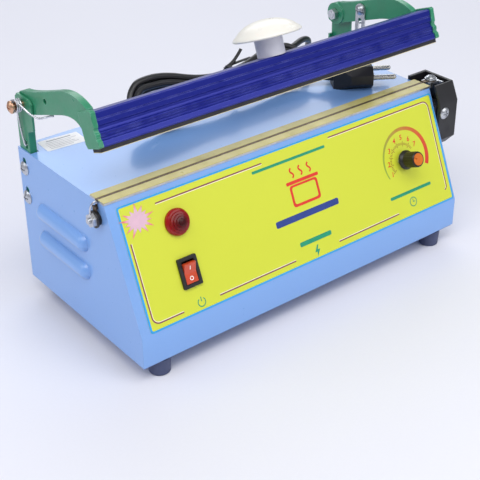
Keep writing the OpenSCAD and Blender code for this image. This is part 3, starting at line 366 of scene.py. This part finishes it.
M["green"] = cast_green()
M["anodised"] = anodised()
M["cloth"] = glass_cloth()
M["rubber"] = rubber("black_rubber", rgb(36, 34, 40), 0.6)
M["foot"] = rubber("foot_rubber", rgb(68, 76, 108), 0.62)
M["cord"] = cord_pvc()
M["ivory"] = ivory()
# grey: the white stem painted with the shade that falls under the knob's cap
M["stem"] = plastic("stem_grey_painted_shade", rgb(200, 200, 212), 0.4)
M["plastic"] = plastic("black_plastic", rgb(26, 26, 29), 0.44, 0.0007, 0.4, 0.0009)
M["knob"] = plastic("knob_plastic", rgb(24, 24, 22), 0.34)
M["orange"] = plastic("orange_cap", rgb(214, 112, 26), 0.34)
M["rocker"] = plastic("red_rocker", rgb(204, 72, 38), 0.3, 0.0004, 0.1, Coat_Weight=0.4)
M["lens"] = lens_red()
M["zinc"] = metal("zinc_steel", rgb(196, 199, 204), 0.30)
M["nickel"] = metal("nickel", rgb(206, 204, 200), 0.26, 0.0003, 0.02)
M["brass"] = metal("brass", rgb(216, 172, 142), 0.30)
M["pivot"] = pivot_metal()
M["alu"] = metal("aluminium", rgb(196, 198, 202), 0.36)
# dark brown in place of silver-grey nichrome: partly browning along the seam, partly painted shade of the gap
# between the cloth strips
M["ribbon"] = metal("ribbon", rgb(96, 82, 66), 0.42)
M["spring"] = metal("spring_wire", rgb(206, 208, 214), 0.26)
M["pad"] = plastic("pad", rgb(214, 206, 180), 0.6)
M["tape"] = plastic("tape", rgb(226, 214, 170), 0.42)
M["laminations"] = laminations()
M["winding"] = winding()
M["board"] = board_green()
M["wire_red"] = plastic("wire", rgb(170, 24, 20), 0.4)
M["film"] = film_yellow()
M["edge_ink"] = ink("edge_ink", rgb(46, 160, 226))
M["maroon"] = ink("maroon_ink", rgb(128, 50, 84))
M["pale_ink"] = ink("pale_ink", rgb(240, 236, 196))
M["red_ink"] = ink("red_ink", rgb(222, 52, 40))
M["blue_ink"] = ink("blue_ink", rgb(44, 66, 140))
M["teal_ink"] = ink("teal_ink", rgb(30, 150, 112))
M["tick_ink"] = ink("tick_ink", rgb(150, 84, 40))
M["sticker"] = ink("sticker", rgb(238, 239, 242), 0.45)
M["grey_ink"] = ink("grey_ink", rgb(168, 170, 178), 0.5)
M["white_ink"] = ink("white_ink", rgb(246, 240, 236), 0.4)
M["dial"] = dial_ink()

# ======== the CAD nodes: softer shading and their own finishes ========
FINISH_OF = {
    "blue": ["housing_shell"],
    "base": ["base_plate"],
    "zinc": ["base_screws", "foot_screws", "jaw_nuts", "terminal_nut_left", "tension_clip",
             "terminal_bolt_left", "tension_spring", "tension_screw", "cover_screw", "post_screws",
             "pivot_nuts", "knob_stud", "link_screw", "switch_link", "microswitch_lever",
             "microswitch_bracket", "transformer_clamp", "potentiometer", "pot_nut"],
    "brass": ["pot_shaft"],
    "pivot": ["pivot_bolts"],
    "nickel": ["plug_pins"],
    "foot": ["rubber_feet"],
    "alu": ["jaw_bar"],
    "pad": ["jaw_pad"],
    "ribbon": ["heating_element"],
    "cloth": ["ptfe_strips"],
    "green": ["hinge_post_left", "hinge_post_right", "arm_left", "arm_right"],
    "anodised": ["press_bar"],
    "rubber": ["press_rubber"],
    "tape": ["press_tape"],
    "ivory": ["push_knob"],
    "stem": ["knob_stem"],
    "plastic": ["terminal_washers_left", "tension_block", "terminal_cover", "microswitch_body",
                "lamp_holder", "switch_body", "cord_gland", "plug_body"],
    "knob": ["timer_knob"],
    "orange": ["timer_knob_cap"],
    "rocker": ["switch_rocker"],
    "lens": ["indicator_lens"],
    "laminations": ["transformer_core"],
    "winding": ["transformer_coil"],
    "board": ["timer_board"],
    "wire_red": ["wiring"],
}


def soft_shading():
    """Node group: joins the corners, smooths curved faces and keeps edges over 28 degrees sharp."""
    g = bpy.data.node_groups.new("soft_shading", "GeometryNodeTree")
    g.interface.new_socket("Geometry", in_out="INPUT", socket_type="NodeSocketGeometry")
    g.interface.new_socket("Geometry", in_out="OUTPUT", socket_type="NodeSocketGeometry")
    new = g.nodes.new
    start, end = new("NodeGroupInput"), new("NodeGroupOutput")
    drop = new("GeometryNodeRemoveAttribute")
    drop.inputs["Name"].default_value = "custom_normal"
    join = new("GeometryNodeMergeByDistance")
    join.inputs["Distance"].default_value = 2e-6
    faces, edges = new("GeometryNodeSetShadeSmooth"), new("GeometryNodeSetShadeSmooth")
    edges.domain = "EDGE"
    edges.inputs["Shade Smooth"].default_value = False
    angle = new("GeometryNodeInputMeshEdgeAngle")
    over = new("FunctionNodeCompare")
    over.data_type, over.operation = "FLOAT", "GREATER_THAN"
    over.inputs["B"].default_value = math.radians(28)
    link = g.links.new
    link(start.outputs[0], drop.inputs["Geometry"])
    link(drop.outputs["Geometry"], join.inputs["Geometry"])
    link(join.outputs["Geometry"], faces.inputs["Geometry"])
    link(faces.outputs["Geometry"], edges.inputs["Geometry"])
    link(angle.outputs["Unsigned Angle"], over.inputs["A"])
    link(over.outputs["Result"], edges.inputs["Selection"])
    link(edges.outputs["Geometry"], end.inputs[0])
    return g


SHADING = soft_shading()
for finish_name, names in FINISH_OF.items():
    for n in names:
        o = nodes[n]
        for s in o.material_slots:
            s.link = "OBJECT"
            s.material = M[finish_name]
        o.modifiers.new("soft_shading", "NODES").node_group = SHADING


# ======== building pieces ========
def new_object(name, mesh, material, body, smooth=False):
    o = bpy.data.objects.new(name, mesh)
    scene.collection.objects.link(o)
    if material:
        mesh.materials.append(material)
    if smooth:
        mesh.polygons.foreach_set("use_smooth", [True] * len(mesh.polygons))
    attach(o, body)
    return o


def flat_mesh(loops, low, high, matrix):
    """Closed plate between two heights in mm, from outlines in mm; inner outlines are holes."""
    cu = bpy.data.curves.new("outline", "CURVE")
    cu.dimensions, cu.fill_mode, cu.extrude = "2D", "BOTH", (high - low) / 2000
    for loop in loops:
        sp = cu.splines.new("POLY")
        sp.points.add(len(loop) - 1)
        for p, (x, y) in zip(sp.points, loop):
            p.co = (x / 1000, y / 1000, 0, 1)
        sp.use_cyclic_u = True
    return curve_mesh(cu, matrix @ Matrix.Translation((0, 0, (low + high) / 2000)))


def curve_mesh(cu, matrix):
    tmp = bpy.data.objects.new("tmp", cu)
    scene.collection.objects.link(tmp)
    me = bpy.data.meshes.new_from_object(tmp.evaluated_get(bpy.context.evaluated_depsgraph_get()))
    bpy.data.objects.remove(tmp)
    bpy.data.curves.remove(cu)
    me.transform(matrix)
    bm = bmesh.new()
    bm.from_mesh(me)
    bmesh.ops.remove_doubles(bm, verts=bm.verts, dist=1e-7)
    bmesh.ops.recalc_face_normals(bm, faces=bm.faces)
    bm.to_mesh(me)
    bm.free()
    me.materials.clear()
    return me


def plate(name, loops, low, high, material, matrix=PANEL, body="frame"):
    return new_object(name, flat_mesh(loops, low, high, matrix), material, body)


def join_meshes(meshes):
    bm = bmesh.new()
    for me in meshes:
        bm.from_mesh(me)
    out = bpy.data.meshes.new("joined")
    bm.to_mesh(out)
    bm.free()
    for me in meshes:
        bpy.data.meshes.remove(me)
    return out


def rounded(x0, x1, y0, y1, r, steps=6):
    """Rectangle with round corners."""
    corners = ((x1 - r, y1 - r, 0), (x0 + r, y1 - r, 90), (x0 + r, y0 + r, 180), (x1 - r, y0 + r, 270))
    pts = []
    for cx, cy, a0 in corners:
        for k in range(steps + 1):
            a = math.radians(a0 + 90 * k / steps)
            pts.append((cx + r * math.cos(a), cy + r * math.sin(a)))
    return pts


def circle(cx, cy, r, n=48):
    return [(cx + x, cy + y) for x, y in round_section(r, n)]


def stroke(path, width):
    """Outline of a line of this width along a path."""
    left, right = [], []
    p = [Vector(q) for q in path]
    for i, q in enumerate(p):
        d = (p[min(i + 1, len(p) - 1)] - p[max(i - 1, 0)]).normalized()
        side = Vector((-d.y, d.x)) * width / 2
        left.append(tuple(q + side))
        right.append(tuple(q - side))
    return left + right[::-1]


def arc(cx, cy, r, a0, a1, n=16):
    return [(cx + r * math.cos(math.radians(a0 + (a1 - a0) * k / n)),
             cy + r * math.sin(math.radians(a0 + (a1 - a0) * k / n))) for k in range(n + 1)]


def sweep_mesh(path, section, side=None):
    """Closed mesh of a section, in mm, carried along a path of points in metres."""
    path = [Vector(p) for p in path]
    bm = bmesh.new()
    normal = Vector(side) if side is not None else None
    rings = []
    for i, p in enumerate(path):
        t = (path[min(i + 1, len(path) - 1)] - path[max(i - 1, 0)]).normalized()
        if normal is None:
            normal = t.cross(Vector((0, 0, 1)) if abs(t.z) < 0.9 else Vector((1, 0, 0)))
        normal = (normal - t * normal.dot(t)).normalized()
        other = t.cross(normal)
        rings.append([bm.verts.new(p + (normal * a + other * b) / 1000) for a, b in section])
    n = len(section)
    for r0, r1 in zip(rings, rings[1:]):
        for k in range(n):
            bm.faces.new((r0[k], r0[(k + 1) % n], r1[(k + 1) % n], r1[k]))
    bm.faces.new(rings[0][::-1])
    bm.faces.new(rings[-1])
    bmesh.ops.recalc_face_normals(bm, faces=bm.faces)
    me = bpy.data.meshes.new("sweep")
    bm.to_mesh(me)
    bm.free()
    return me


def round_section(r, n=12):
    return [(r * math.cos(2 * math.pi * k / n), r * math.sin(2 * math.pi * k / n)) for k in range(n)]


# ======== cord ========
CORD_D = 5.0
LEAD_IN = [(72, 80, 44), (72, 90, 44), (72.5, 99.5, 41.5), (75, 109, 36.5), (80.5, 117, 29.5),
           (90, 121.5, 23), (102.5, 122.5, 19.5), (116.5, 119.5, 21), (129, 113.5, 29.5),
           (137, 106, 45.5), (139, 98.5, 66.5), (136, 92, 87.5), (130, 85.5, 106), (125, 79, 120),
           (120.5, 72, 131), (115, 65.5, 138.5), (108, 60.5, 143), (100, 57, 145),
           (91.5, 54, 144.6), (83, 51.6, 144.4)]
LEAD_OUT = [(36.5, 31.5, 129), (44.5, 29.5, 127), (53, 28, 125.5), (62, 26, 124.5), (70, 25, 125.2),
            (77.5, 22.8, 127.6), (84, 20, 129.5), (91, 15.6, 130)]
HANK_AT = Vector((5, 38, 140))
HANK_TILT, FLATTER = math.radians(47), math.radians(9)
SAG, LOWER_RIGHT = 2.4, 1.6
LOOP_X, LOOP_R, RIGHT_LOOP_LESS = 62.5, 15.3, 1.5
WAIST, RUN_X = 5.0, 58.0


def hank_point(x, v, w):
    """A point of the tilted hank, v up along its face and w off it; it sags and lies flatter to the right."""
    near = min(1, max(0, (x + 40) / 40))
    far = min(1, max(0, (x - 5) / 50))
    tilt = HANK_TILT - FLATTER * far
    v -= SAG * near * (1 - 0.5 * far)
    return tuple(HANK_AT + Vector((x, v * math.cos(tilt) - w * math.sin(tilt),
                                   v * math.sin(tilt) + w * math.cos(tilt) - LOWER_RIGHT * far)))


def hank_path():
    """Four turns, each lying in its own quarter of the bundle and shifting round it at the left loop."""
    pts = []

    def centre(x):
        """How far the middle of a run lies from the hank's own middle line."""
        return WAIST + (10.3 if x < 0 else 8.8) * math.sin(math.radians(90) * min(1, abs(x) / RUN_X)) ** 3

    def spread(x):
        """How far each of the four strands lies from the middle of the run."""
        return 3.6 + (0.5 if x < 0 else 0.3) * min(1, abs(x) / 62) ** 3

    def run(theta, sign, x0, x1, n):
        for k in range(n):
            x = x0 + (x1 - x0) * k / (n - 1)
            a = math.radians(theta)
            r = spread(x)
            pts.append(hank_point(x, sign * (centre(x) + r * math.cos(a)), r * math.sin(a)))

    def loop(theta0, theta1, left, far):
        side = -1 if left else 1
        n = 9
        for k in range(1, n):
            phi = math.pi * k / n
            turn = phi if left else math.pi - phi
            a = math.radians(theta0 + (theta1 - theta0) * k / n)
            x0 = side * LOOP_X
            rho = spread(x0)
            radius = LOOP_R - (0 if left else RIGHT_LOOP_LESS) + rho * math.cos(a)
            pts.append(hank_point(x0 + side * (radius + far) * math.sin(turn),
                                  radius * math.cos(turn), rho * math.sin(a)))

    theta = -45
    for turn in range(4):
        run(theta, 1, 52 if turn == 0 else RUN_X, -RUN_X, 13 if turn == 0 else 14)
        loop(theta, theta - 90, True, (0.6, -1.0, 1.0, -0.4)[turn])
        theta -= 90
        run(theta, -1, -RUN_X, 21 if turn == 3 else RUN_X, 10 if turn == 3 else 14)
        if turn < 3:
            loop(theta, theta, False, (-0.6, 0.8, 0.0)[turn])
    return pts


cord_points = [at(*p) for p in smooth_path(LEAD_IN + hank_path() + LEAD_OUT, 4)]
cu = bpy.data.curves.new("mains_cord", "CURVE")
cu.dimensions, cu.bevel_depth, cu.bevel_resolution, cu.use_fill_caps = "3D", CORD_D / 2000, 4, True
sp = cu.splines.new("POLY")
sp.points.add(len(cord_points) - 1)
for p, co in zip(sp.points, cord_points):
    p.co = (*co, 1)
sp.use_smooth = True
cu.materials.append(M["cord"])
cord = bpy.data.objects.new("mains_cord", cu)
scene.collection.objects.link(cord)
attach(cord, "frame")
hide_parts("power_cord", "cord_hank", "plug_lead")


def tie_piece():
    """Flat twist tie: a band round the waist, a twisted knot and two ends."""
    flat = [(-1.5, -0.25), (-0.5, -0.3), (-0.25, -0.5), (0.25, -0.5), (0.5, -0.3), (1.5, -0.25),
            (1.5, 0.25), (0.5, 0.3), (0.25, 0.5), (-0.25, 0.5), (-0.5, 0.3), (-1.5, 0.25)]
    loop = [Vector(hank_point(8, v, w)) for w, v in rounded(-6.4, 6.4, -11.9, 11.9, 4, 5)]
    band = [at(*p) for p in loop[6:] + loop[:6]]
    meshes = [sweep_mesh(band + band[:1], flat, (1, 0, 0))]
    tie_y = 47.0
    for ends in ([(13.5, 145.6), (15.8, 146.6), (19.4, 148.2), (22.6, 150.2), (26.6, 154.1), (29.5, 157.7)],
                 [(14.5, 145.2), (16.8, 146.2), (20.6, 147.4), (24.6, 147.7), (31.4, 148.1), (38.9, 148.4)]):
        path = [at(*p) for p in smooth_path([(x, tie_y, z) for x, z in ends], 5)]
        meshes.append(sweep_mesh(path, flat, (0, 1, 0)))
    knot = []
    for k in range(49):
        a = math.radians(k * 360 * 4 / 48)
        knot.append(at(15 + 8 * k / 48 + 0.4 * math.cos(a), tie_y + 1.2 * math.sin(a),
                       146.2 + 2.6 * k / 48 + 1.0 * math.cos(a)))
    meshes.append(sweep_mesh(knot, round_section(0.6, 8)))
    return join_meshes(meshes)


tie = new_object("wire_tie", tie_piece(), M["plastic"], "frame", True)
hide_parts("twist_tie")

# ======== camera, floor and light ========
CAMERA_AT, FOCAL, DROP = (-453.2, -559.5, 454.5), 81.20625, 0.1020833
az, el, roll = math.radians(-38.397), math.radians(28.434), math.radians(-0.441)
back = Vector((math.sin(az) * math.cos(el), -math.cos(az) * math.cos(el), math.sin(el)))
level = (-back).cross(Vector((0, 0, 1))).normalized()
above = level.cross(-back)
right = level * math.cos(roll) + above * math.sin(roll)
up = -level * math.sin(roll) + above * math.cos(roll)
cam_data = bpy.data.cameras.new("camera")
cam_data.sensor_width, cam_data.lens, cam_data.shift_y = 36.0, FOCAL, -DROP
cam_data.clip_start, cam_data.clip_end = 0.05, 30
cam = bpy.data.objects.new("camera", cam_data)
cam.matrix_world = frame_matrix(at(*CAMERA_AT), right, up, back)
scene.collection.objects.link(cam)
scene.camera = cam


def floor_finish():
    f = Finish("floor", rgb(226, 227, 236), 0.7)
    f.vary(0.6, 0.012).vary(0.002, 0.006)
    return f.bump(f.noise(0.0015), 0.05, 0.00005).done()


bm = bmesh.new()
bmesh.ops.create_grid(bm, x_segments=8, y_segments=8, size=4)
me = bpy.data.meshes.new("floor")
bm.to_mesh(me)
bm.free()
me.materials.append(floor_finish())
floor = bpy.data.objects.new("floor", me)
scene.collection.objects.link(floor)


def area(name, place, aim, size, power, colour):
    data = bpy.data.lights.new(name, "AREA")
    data.shape, data.size, data.size_y = "RECTANGLE", size[0], size[1]
    data.energy, data.color = power, colour
    o = bpy.data.objects.new(name, data)
    o.location = place
    o.rotation_euler = (Vector(aim) - Vector(place)).to_track_quat("-Z", "Y").to_euler()
    scene.collection.objects.link(o)


area("key", (-1.1, -0.5, 1.7), (0, 0, 0.1), (1.5, 1.2), 17, (1.0, 0.98, 0.96))
area("back", (0.9, 1.4, 1.15), (0, 0, 0.1), (1.8, 1.1), 13, (0.95, 0.97, 1.0))
area("front", (0.6, -1.4, 1.1), (0, -0.2, 0.0), (1.4, 1.0), 9, (1.0, 1.0, 1.0))
area("over", (-0.1, -0.7, 1.5), (-0.1, -0.5, 0.0), (1.0, 0.6), 8, (1.0, 0.99, 0.97))
area("left", (-1.4, 0.7, 0.9), (-0.1, 0.0, 0.15), (0.8, 0.8), 4, (0.95, 0.98, 1.0))
world = bpy.data.worlds.new("studio")
world.use_nodes = True
background = world.node_tree.nodes["Background"]
background.inputs["Color"].default_value = (0.86, 0.88, 0.95, 1)
background.inputs["Strength"].default_value = 0.37
scene.world = world
scene.view_settings.view_transform = "Standard"

# ======== printed film on the sloped front ========
film_outline = rounded(*FILM_X, *FILM_V, 2)
switch_hole = rounded(SWITCH[0] - 6.6, SWITCH[0] + 6.6, SWITCH[1] - 9.6, SWITCH[1] + 9.6, 0.4, 2)
film = plate("front_film", [film_outline, circle(*LENS, 6.2), switch_hole, circle(*DIAL, 3.7)],
             0.0, FILM_T, M["film"])
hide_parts("labels")
film_inside = rounded(FILM_X[0] + 1.5, FILM_X[1] - 1.4, FILM_V[0] + 1.3, FILM_V[1] - 1.3, 1.2)
plate("film_edge", [film_outline, film_inside], FILM_T, UNDER_TOP, M["edge_ink"])

BORDER = [
    [(-139, 62)] + [(-138.9, 30), (-138.8, 12)] + arc(-133.4, 11.5, 5.4, 180, 270, 8) + [(-114.6, 6.1)],
    [(-84.3, 6.7), (-50, 6.7), (-15.9, 6.7)],
    [(26.3, 6.9), (57, 7.1), (88.9, 7.3)],
    [(-113.9, 81.6), (-70, 81.7), (-24, 81.8)],
    [(38.9, 82.5), (100, 82.6), (137.6, 82.7)] + arc(138.2, 77.2, 5.5, 90, 0, 8) + [(143.6, 40), (143.8, 16)]
    + arc(140.6, 13.6, 3.2, 0, -75, 6),
]
new_object("film_border", join_meshes([flat_mesh([stroke(p, 0.85)], FILM_T, INK_TOP, PANEL) for p in BORDER]),
           M["maroon"], "frame")


def inner(path, d):
    """The pale line beside a border line, d mm to its right."""
    out = []
    p = [Vector(q) for q in path]
    for i, q in enumerate(p):
        t = (p[min(i + 1, len(p) - 1)] - p[max(i - 1, 0)]).normalized()
        out.append(tuple(q + Vector((t.y, -t.x)) * d))
    return out


new_object("film_border_pale", join_meshes(
    [flat_mesh([stroke(inner(p, d), 0.55)], FILM_T, UNDER_TOP, PANEL)
     for p, d in zip(BORDER, (-0.75, -0.75, -0.75, 0.75, 0.75))]), M["pale_ink"], "frame")


# ---- the dial: sweep, numbers and ticks ----
def dial_sweep():
    """Band that widens clockwise from a thin green end to a broad red one."""
    stops = [(208, (140, 172, 64)), (160, (156, 172, 62)), (110, (178, 150, 60)), (70, (204, 118, 52)),
             (30, (214, 86, 46)), (-28, (212, 54, 44))]

    def colour(a):
        for (a0, c0), (a1, c1) in zip(stops, stops[1:]):
            if a >= a1:
                t = (a0 - a) / (a0 - a1)
                return rgb(*[u + (v - u) * t for u, v in zip(c0, c1)])
        return rgb(*stops[-1][1])

    n, outer, start, turn = 59, 24.0, 208, 236
    bm = bmesh.new()
    layer = bm.loops.layers.float_color.new("sweep")
    rings = []
    for k in range(n + 1):
        a = start - turn * k / n
        inner_r = outer - 0.9 - 2.9 * (k / n) ** 0.8
        c, s = math.cos(math.radians(a)), math.sin(math.radians(a))
        corners = ((outer, FILM_T), (outer, INK_TOP), (inner_r, INK_TOP), (inner_r, FILM_T))
        spots = [Vector((SWEEP_AT[0] + r * c, SWEEP_AT[1] + r * s, h)) / 1000 for r, h in corners]
        rings.append(([bm.verts.new(PANEL @ spot) for spot in spots], colour(a)))
    for (r0, c0), (r1, c1) in zip(rings, rings[1:]):
        for k in range(4):
            f = bm.faces.new((r0[k], r1[k], r1[(k + 1) % 4], r0[(k + 1) % 4]))
            for loop in f.loops:
                loop[layer] = c0 if loop.vert in r0 else c1
    for ring, col in (rings[0], rings[-1]):
        f = bm.faces.new(ring)
        for loop in f.loops:
            loop[layer] = col
    bmesh.ops.recalc_face_normals(bm, faces=bm.faces)
    me = bpy.data.meshes.new("dial_sweep")
    bm.to_mesh(me)
    bm.free()
    return me


new_object("dial_sweep", dial_sweep(), M["dial"], "frame")


def digit(text, x, y):
    """A leaning printed digit, centred at x and y on the panel."""
    cu = bpy.data.curves.new("digit", "FONT")
    cu.body, cu.size, cu.align_x, cu.align_y = text, DIGIT_HEIGHT / 1000, "CENTER", "CENTER"
    cu.shear, cu.extrude, cu.resolution_u = 0.15, (INK_TOP - FILM_T) / 2000, 3
    cu.offset = 0.00008
    return curve_mesh(cu, PANEL @ Matrix.Translation((x / 1000, y / 1000, (FILM_T + INK_TOP) / 2000)))


numbers = []
for k, (x, y) in enumerate(((91.8, 37.7), (90.3, 46.1), (93.5, 55.9), (100.5, 61.7), (107.8, 62.7),
                            (115, 59.5), (120.2, 54.1))):
    numbers.append(digit(str(k + 1), x, y))
new_object("dial_numbers", join_meshes(numbers), M["red_ink"], "frame")
ticks = []
for k in range(34):
    a = math.radians(212 - k * 5.45)
    long = k % 5 == 0
    r0, r1 = 10.4 if long else 11.6, 14.6 if long else 13.4
    c, s = math.cos(a), math.sin(a)
    ends = [(DIAL[0] + r * c, DIAL[1] + r * s) for r in (r0, r1)]
    ticks.append(flat_mesh([stroke(ends, 0.4)], FILM_T, UNDER_TOP, PANEL))
new_object("dial_ticks", join_meshes(ticks), M["tick_ink"], "frame")


# ---- generic pictograms where the words were ----
def bag_mark(cx, cy, k):
    """A bag closed by a seam, with heat rising over it."""
    loops = [[rounded(cx - 13 * k, cx + 13 * k, cy - 11 * k, cy + 5 * k, 2.5 * k),
              rounded(cx - 11 * k, cx + 11 * k, cy - 9 * k, cy + 3.4 * k, 1.6 * k)],
             [rounded(cx - 15 * k, cx + 15 * k, cy + 5.6 * k, cy + 8 * k, 0.6 * k)]]
    for dx in (-8, 0, 8):
        wave = [(cx + (dx + 1.3 * math.sin(t * math.pi / 4)) * k, cy + (10 + t * 0.9) * k) for t in range(9)]
        loops.append([stroke(wave, 1.3 * k)])
    return loops


def clock_mark(cx, cy, k):
    return [[circle(cx, cy, 5 * k), circle(cx, cy, 4.1 * k)],
            [stroke([(cx, cy - 0.3 * k), (cx, cy + 3.1 * k)], 0.8 * k)],
            [stroke([(cx + 0.4 * k, cy), (cx + 2.6 * k, cy)], 0.8 * k)]]


def bolt_mark(cx, cy, k):
    return [[[(cx + x * k, cy + y * k) for x, y in ((0.6, 5), (-3, -0.8), (-0.4, -0.8), (-1.2, -5),
                                                   (3, 1), (0.4, 1), (2, 5))]]]


def power_mark(cx, cy, k):
    return [[stroke(arc(cx, cy, 4 * k, 125, 415, 22), 0.9 * k)],
            [stroke([(cx, cy + 0.6 * k), (cx, cy + 5 * k)], 0.9 * k)]]


def mark(name, groups, material):
    new_object(name, join_meshes([flat_mesh(g, FILM_T, INK_TOP, PANEL) for g in groups]), M[material],
               "frame")


mark("bag_mark", bag_mark(7.2, 54, 1.0), "red_ink")
mark("blue_bars", [[rounded(-25, 34.5, 33.6, 38.4, 1.2)]], "blue_ink")
mark("teal_bars", [[rounded(-9, 21, 14.4, 17.8, 1)], [rounded(-34, 34, 76.4, 78.4, 0.8)],
                   [rounded(84, 128, 19.2, 21.6, 1)]], "teal_ink")
mark("clock_mark", clock_mark(106, 12, 0.75), "teal_ink")
mark("bolt_mark", bolt_mark(5, 7.4, 0.85), "teal_ink")
mark("power_mark", power_mark(-99.5, 7.6, 0.75), "teal_ink")

# ---- starburst and rating sticker ----
def burst_outline():
    """A flattened star with uneven points."""
    spikes = [13.4, 9.8, 12.6, 15.0, 10.4, 13.0, 14.6, 10.2, 12.8, 15.4, 11.0, 13.6, 14.2, 10.6]
    hollow, flatness, turn = 6.5, 0.78, 0.2
    pts = []
    for k, r in enumerate(spikes):
        for reach, step in ((r, 0), (hollow, 0.5)):
            a = 2 * math.pi * (k + step) / len(spikes) + turn
            pts.append((BURST_AT[0] + reach * math.cos(a), BURST_AT[1] + flatness * reach * math.sin(a)))
    return pts


def burst_finish():
    """Pale middle, its points inked darker."""
    f = Finish("burst_ink", rgb(222, 184, 202), 0.4)
    away = f.vector("DISTANCE", f.coord, tuple(on_panel(*BURST_AT))).outputs["Value"]
    return f.tint(away, rgb(233, 124, 132), 0.0066, 0.0104).vary(0.004, 0.04).done()


plate("starburst", [burst_outline()], INK_TOP, BURST_TOP, burst_finish())
card = TOP @ Matrix.Translation((-0.122, 0.0605, 0)) @ Matrix.Rotation(math.radians(-4), 4, "Z")
plate("rating_sticker", [rounded(-15.5, 15.5, -9, 9, 1.5)], 0.0, 0.12, M["sticker"], matrix=card)
bars = [rounded(-10, 9, 5, 6.6, 0.3, 2)]
for k in range(5):
    bars.append(rounded(-12, 12 - (k * 5) % 7, 2.6 - k * 2.3, 3.2 - k * 2.3, 0.2, 2))
new_object("rating_lines", join_meshes([flat_mesh([b], 0.12, 0.15, card) for b in bars]), M["grey_ink"],
           "frame")

# ---- on and off marks on the rocker, which they ride ----
TILT, ROCKER_RISE, ROCKER_RUN = math.radians(11), 1.5, 6.4
PIN = PANEL @ Matrix.Translation((SWITCH[0] / 1000, SWITCH[1] / 1000, -0.001)) @ Matrix.Rotation(TILT, 4, "X")
for name, loops, where, lean in (
        ("rocker_on", [rounded(-0.35, 0.35, -1.5, 1.5, 0.3, 3)], 3.8, 1),
        ("rocker_off", [circle(0, 0, 1.5, 28), circle(0, 0, 0.95, 28)], -3.8, -1)):
    slant = math.atan2(ROCKER_RISE, ROCKER_RUN) * lean
    height = 3 + ROCKER_RISE * (abs(where) - 0.6) / ROCKER_RUN
    m = PIN @ Matrix.Translation((0, where / 1000, height / 1000)) @ Matrix.Rotation(slant, 4, "X")
    plate(name, loops, 0.0, 0.06, M["white_ink"], m, "switch_rocker")


# ======== torsion springs ========
def spring_parts(side):
    """The wire on the post, and the wire on the arm, which repeats the coil's last 30 degrees so that
    closing the arm winds the coil on and opens no gap."""
    r = 4.2
    leg = [(146.6, 62.3, 125.6), (149.6, 62.3, 125.9), (150.3, 63, 129.5), (150.7, 65, 139),
           (150.8, 66.7, 149), (150.9, 66.3, 154)]
    coil = []
    for k in range(91):
        a = math.radians((90 - 20.7 + 360 * 3) * k / 90)
        coil.append((150.9 + 4.8 * k / 90, PIVOT[0] + r * math.cos(a), PIVOT[1] + r * math.sin(a)))
    fixed = [at(side * x, y, z) for x, y, z in smooth_path(leg, 5)[:-1] + coil]
    wind = [(155.7 - 0.025 * k, r * math.sin(math.radians(6 * k)), r * math.cos(math.radians(6 * k)))
            for k in range(5, 0, -1)]
    rest = [(155.7, 0, 4.2), (155.3, -4.5, 3.4), (154, -9, -0.5), (151.5, -13, -6.5), (148.5, -17, -10.6),
            (145.5, -21, -11.1), (143.6, -25, -10.8), (142.8, -29, -10.9)]
    moving = [on_arm(side * x, y, z) for x, y, z in smooth_path(wind + rest, 5)]
    return fixed, moving


for label, side in (("left", -1), ("right", 1)):
    fixed, moving = spring_parts(side)
    coil = new_object("spring_coil_" + label, sweep_mesh(fixed, round_section(0.7, 10)), M["spring"],
                      "frame", True)
    leg = new_object("spring_leg_" + label, sweep_mesh(moving, round_section(0.7, 10)), M["spring"],
                     "press_arm", True)
    if side == -1:
        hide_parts("torsion_springs")

# ======== bent wire from the end of the ribbon down to the left terminal ========
hook = [(-151.1, -31.4, 120.6), (-151.5, -31.8, 122.2), (-153.2, -32, 122.6), (-155, -31.4, 120.6),
        (-155.7, -30.6, 117), (-155.4, -30, 113.6), (-154.6, -30, 111.6)]
new_object("terminal_hook", sweep_mesh([at(*p) for p in smooth_path(hook, 6)], round_section(0.65, 10)),
           M["spring"], "frame", True)
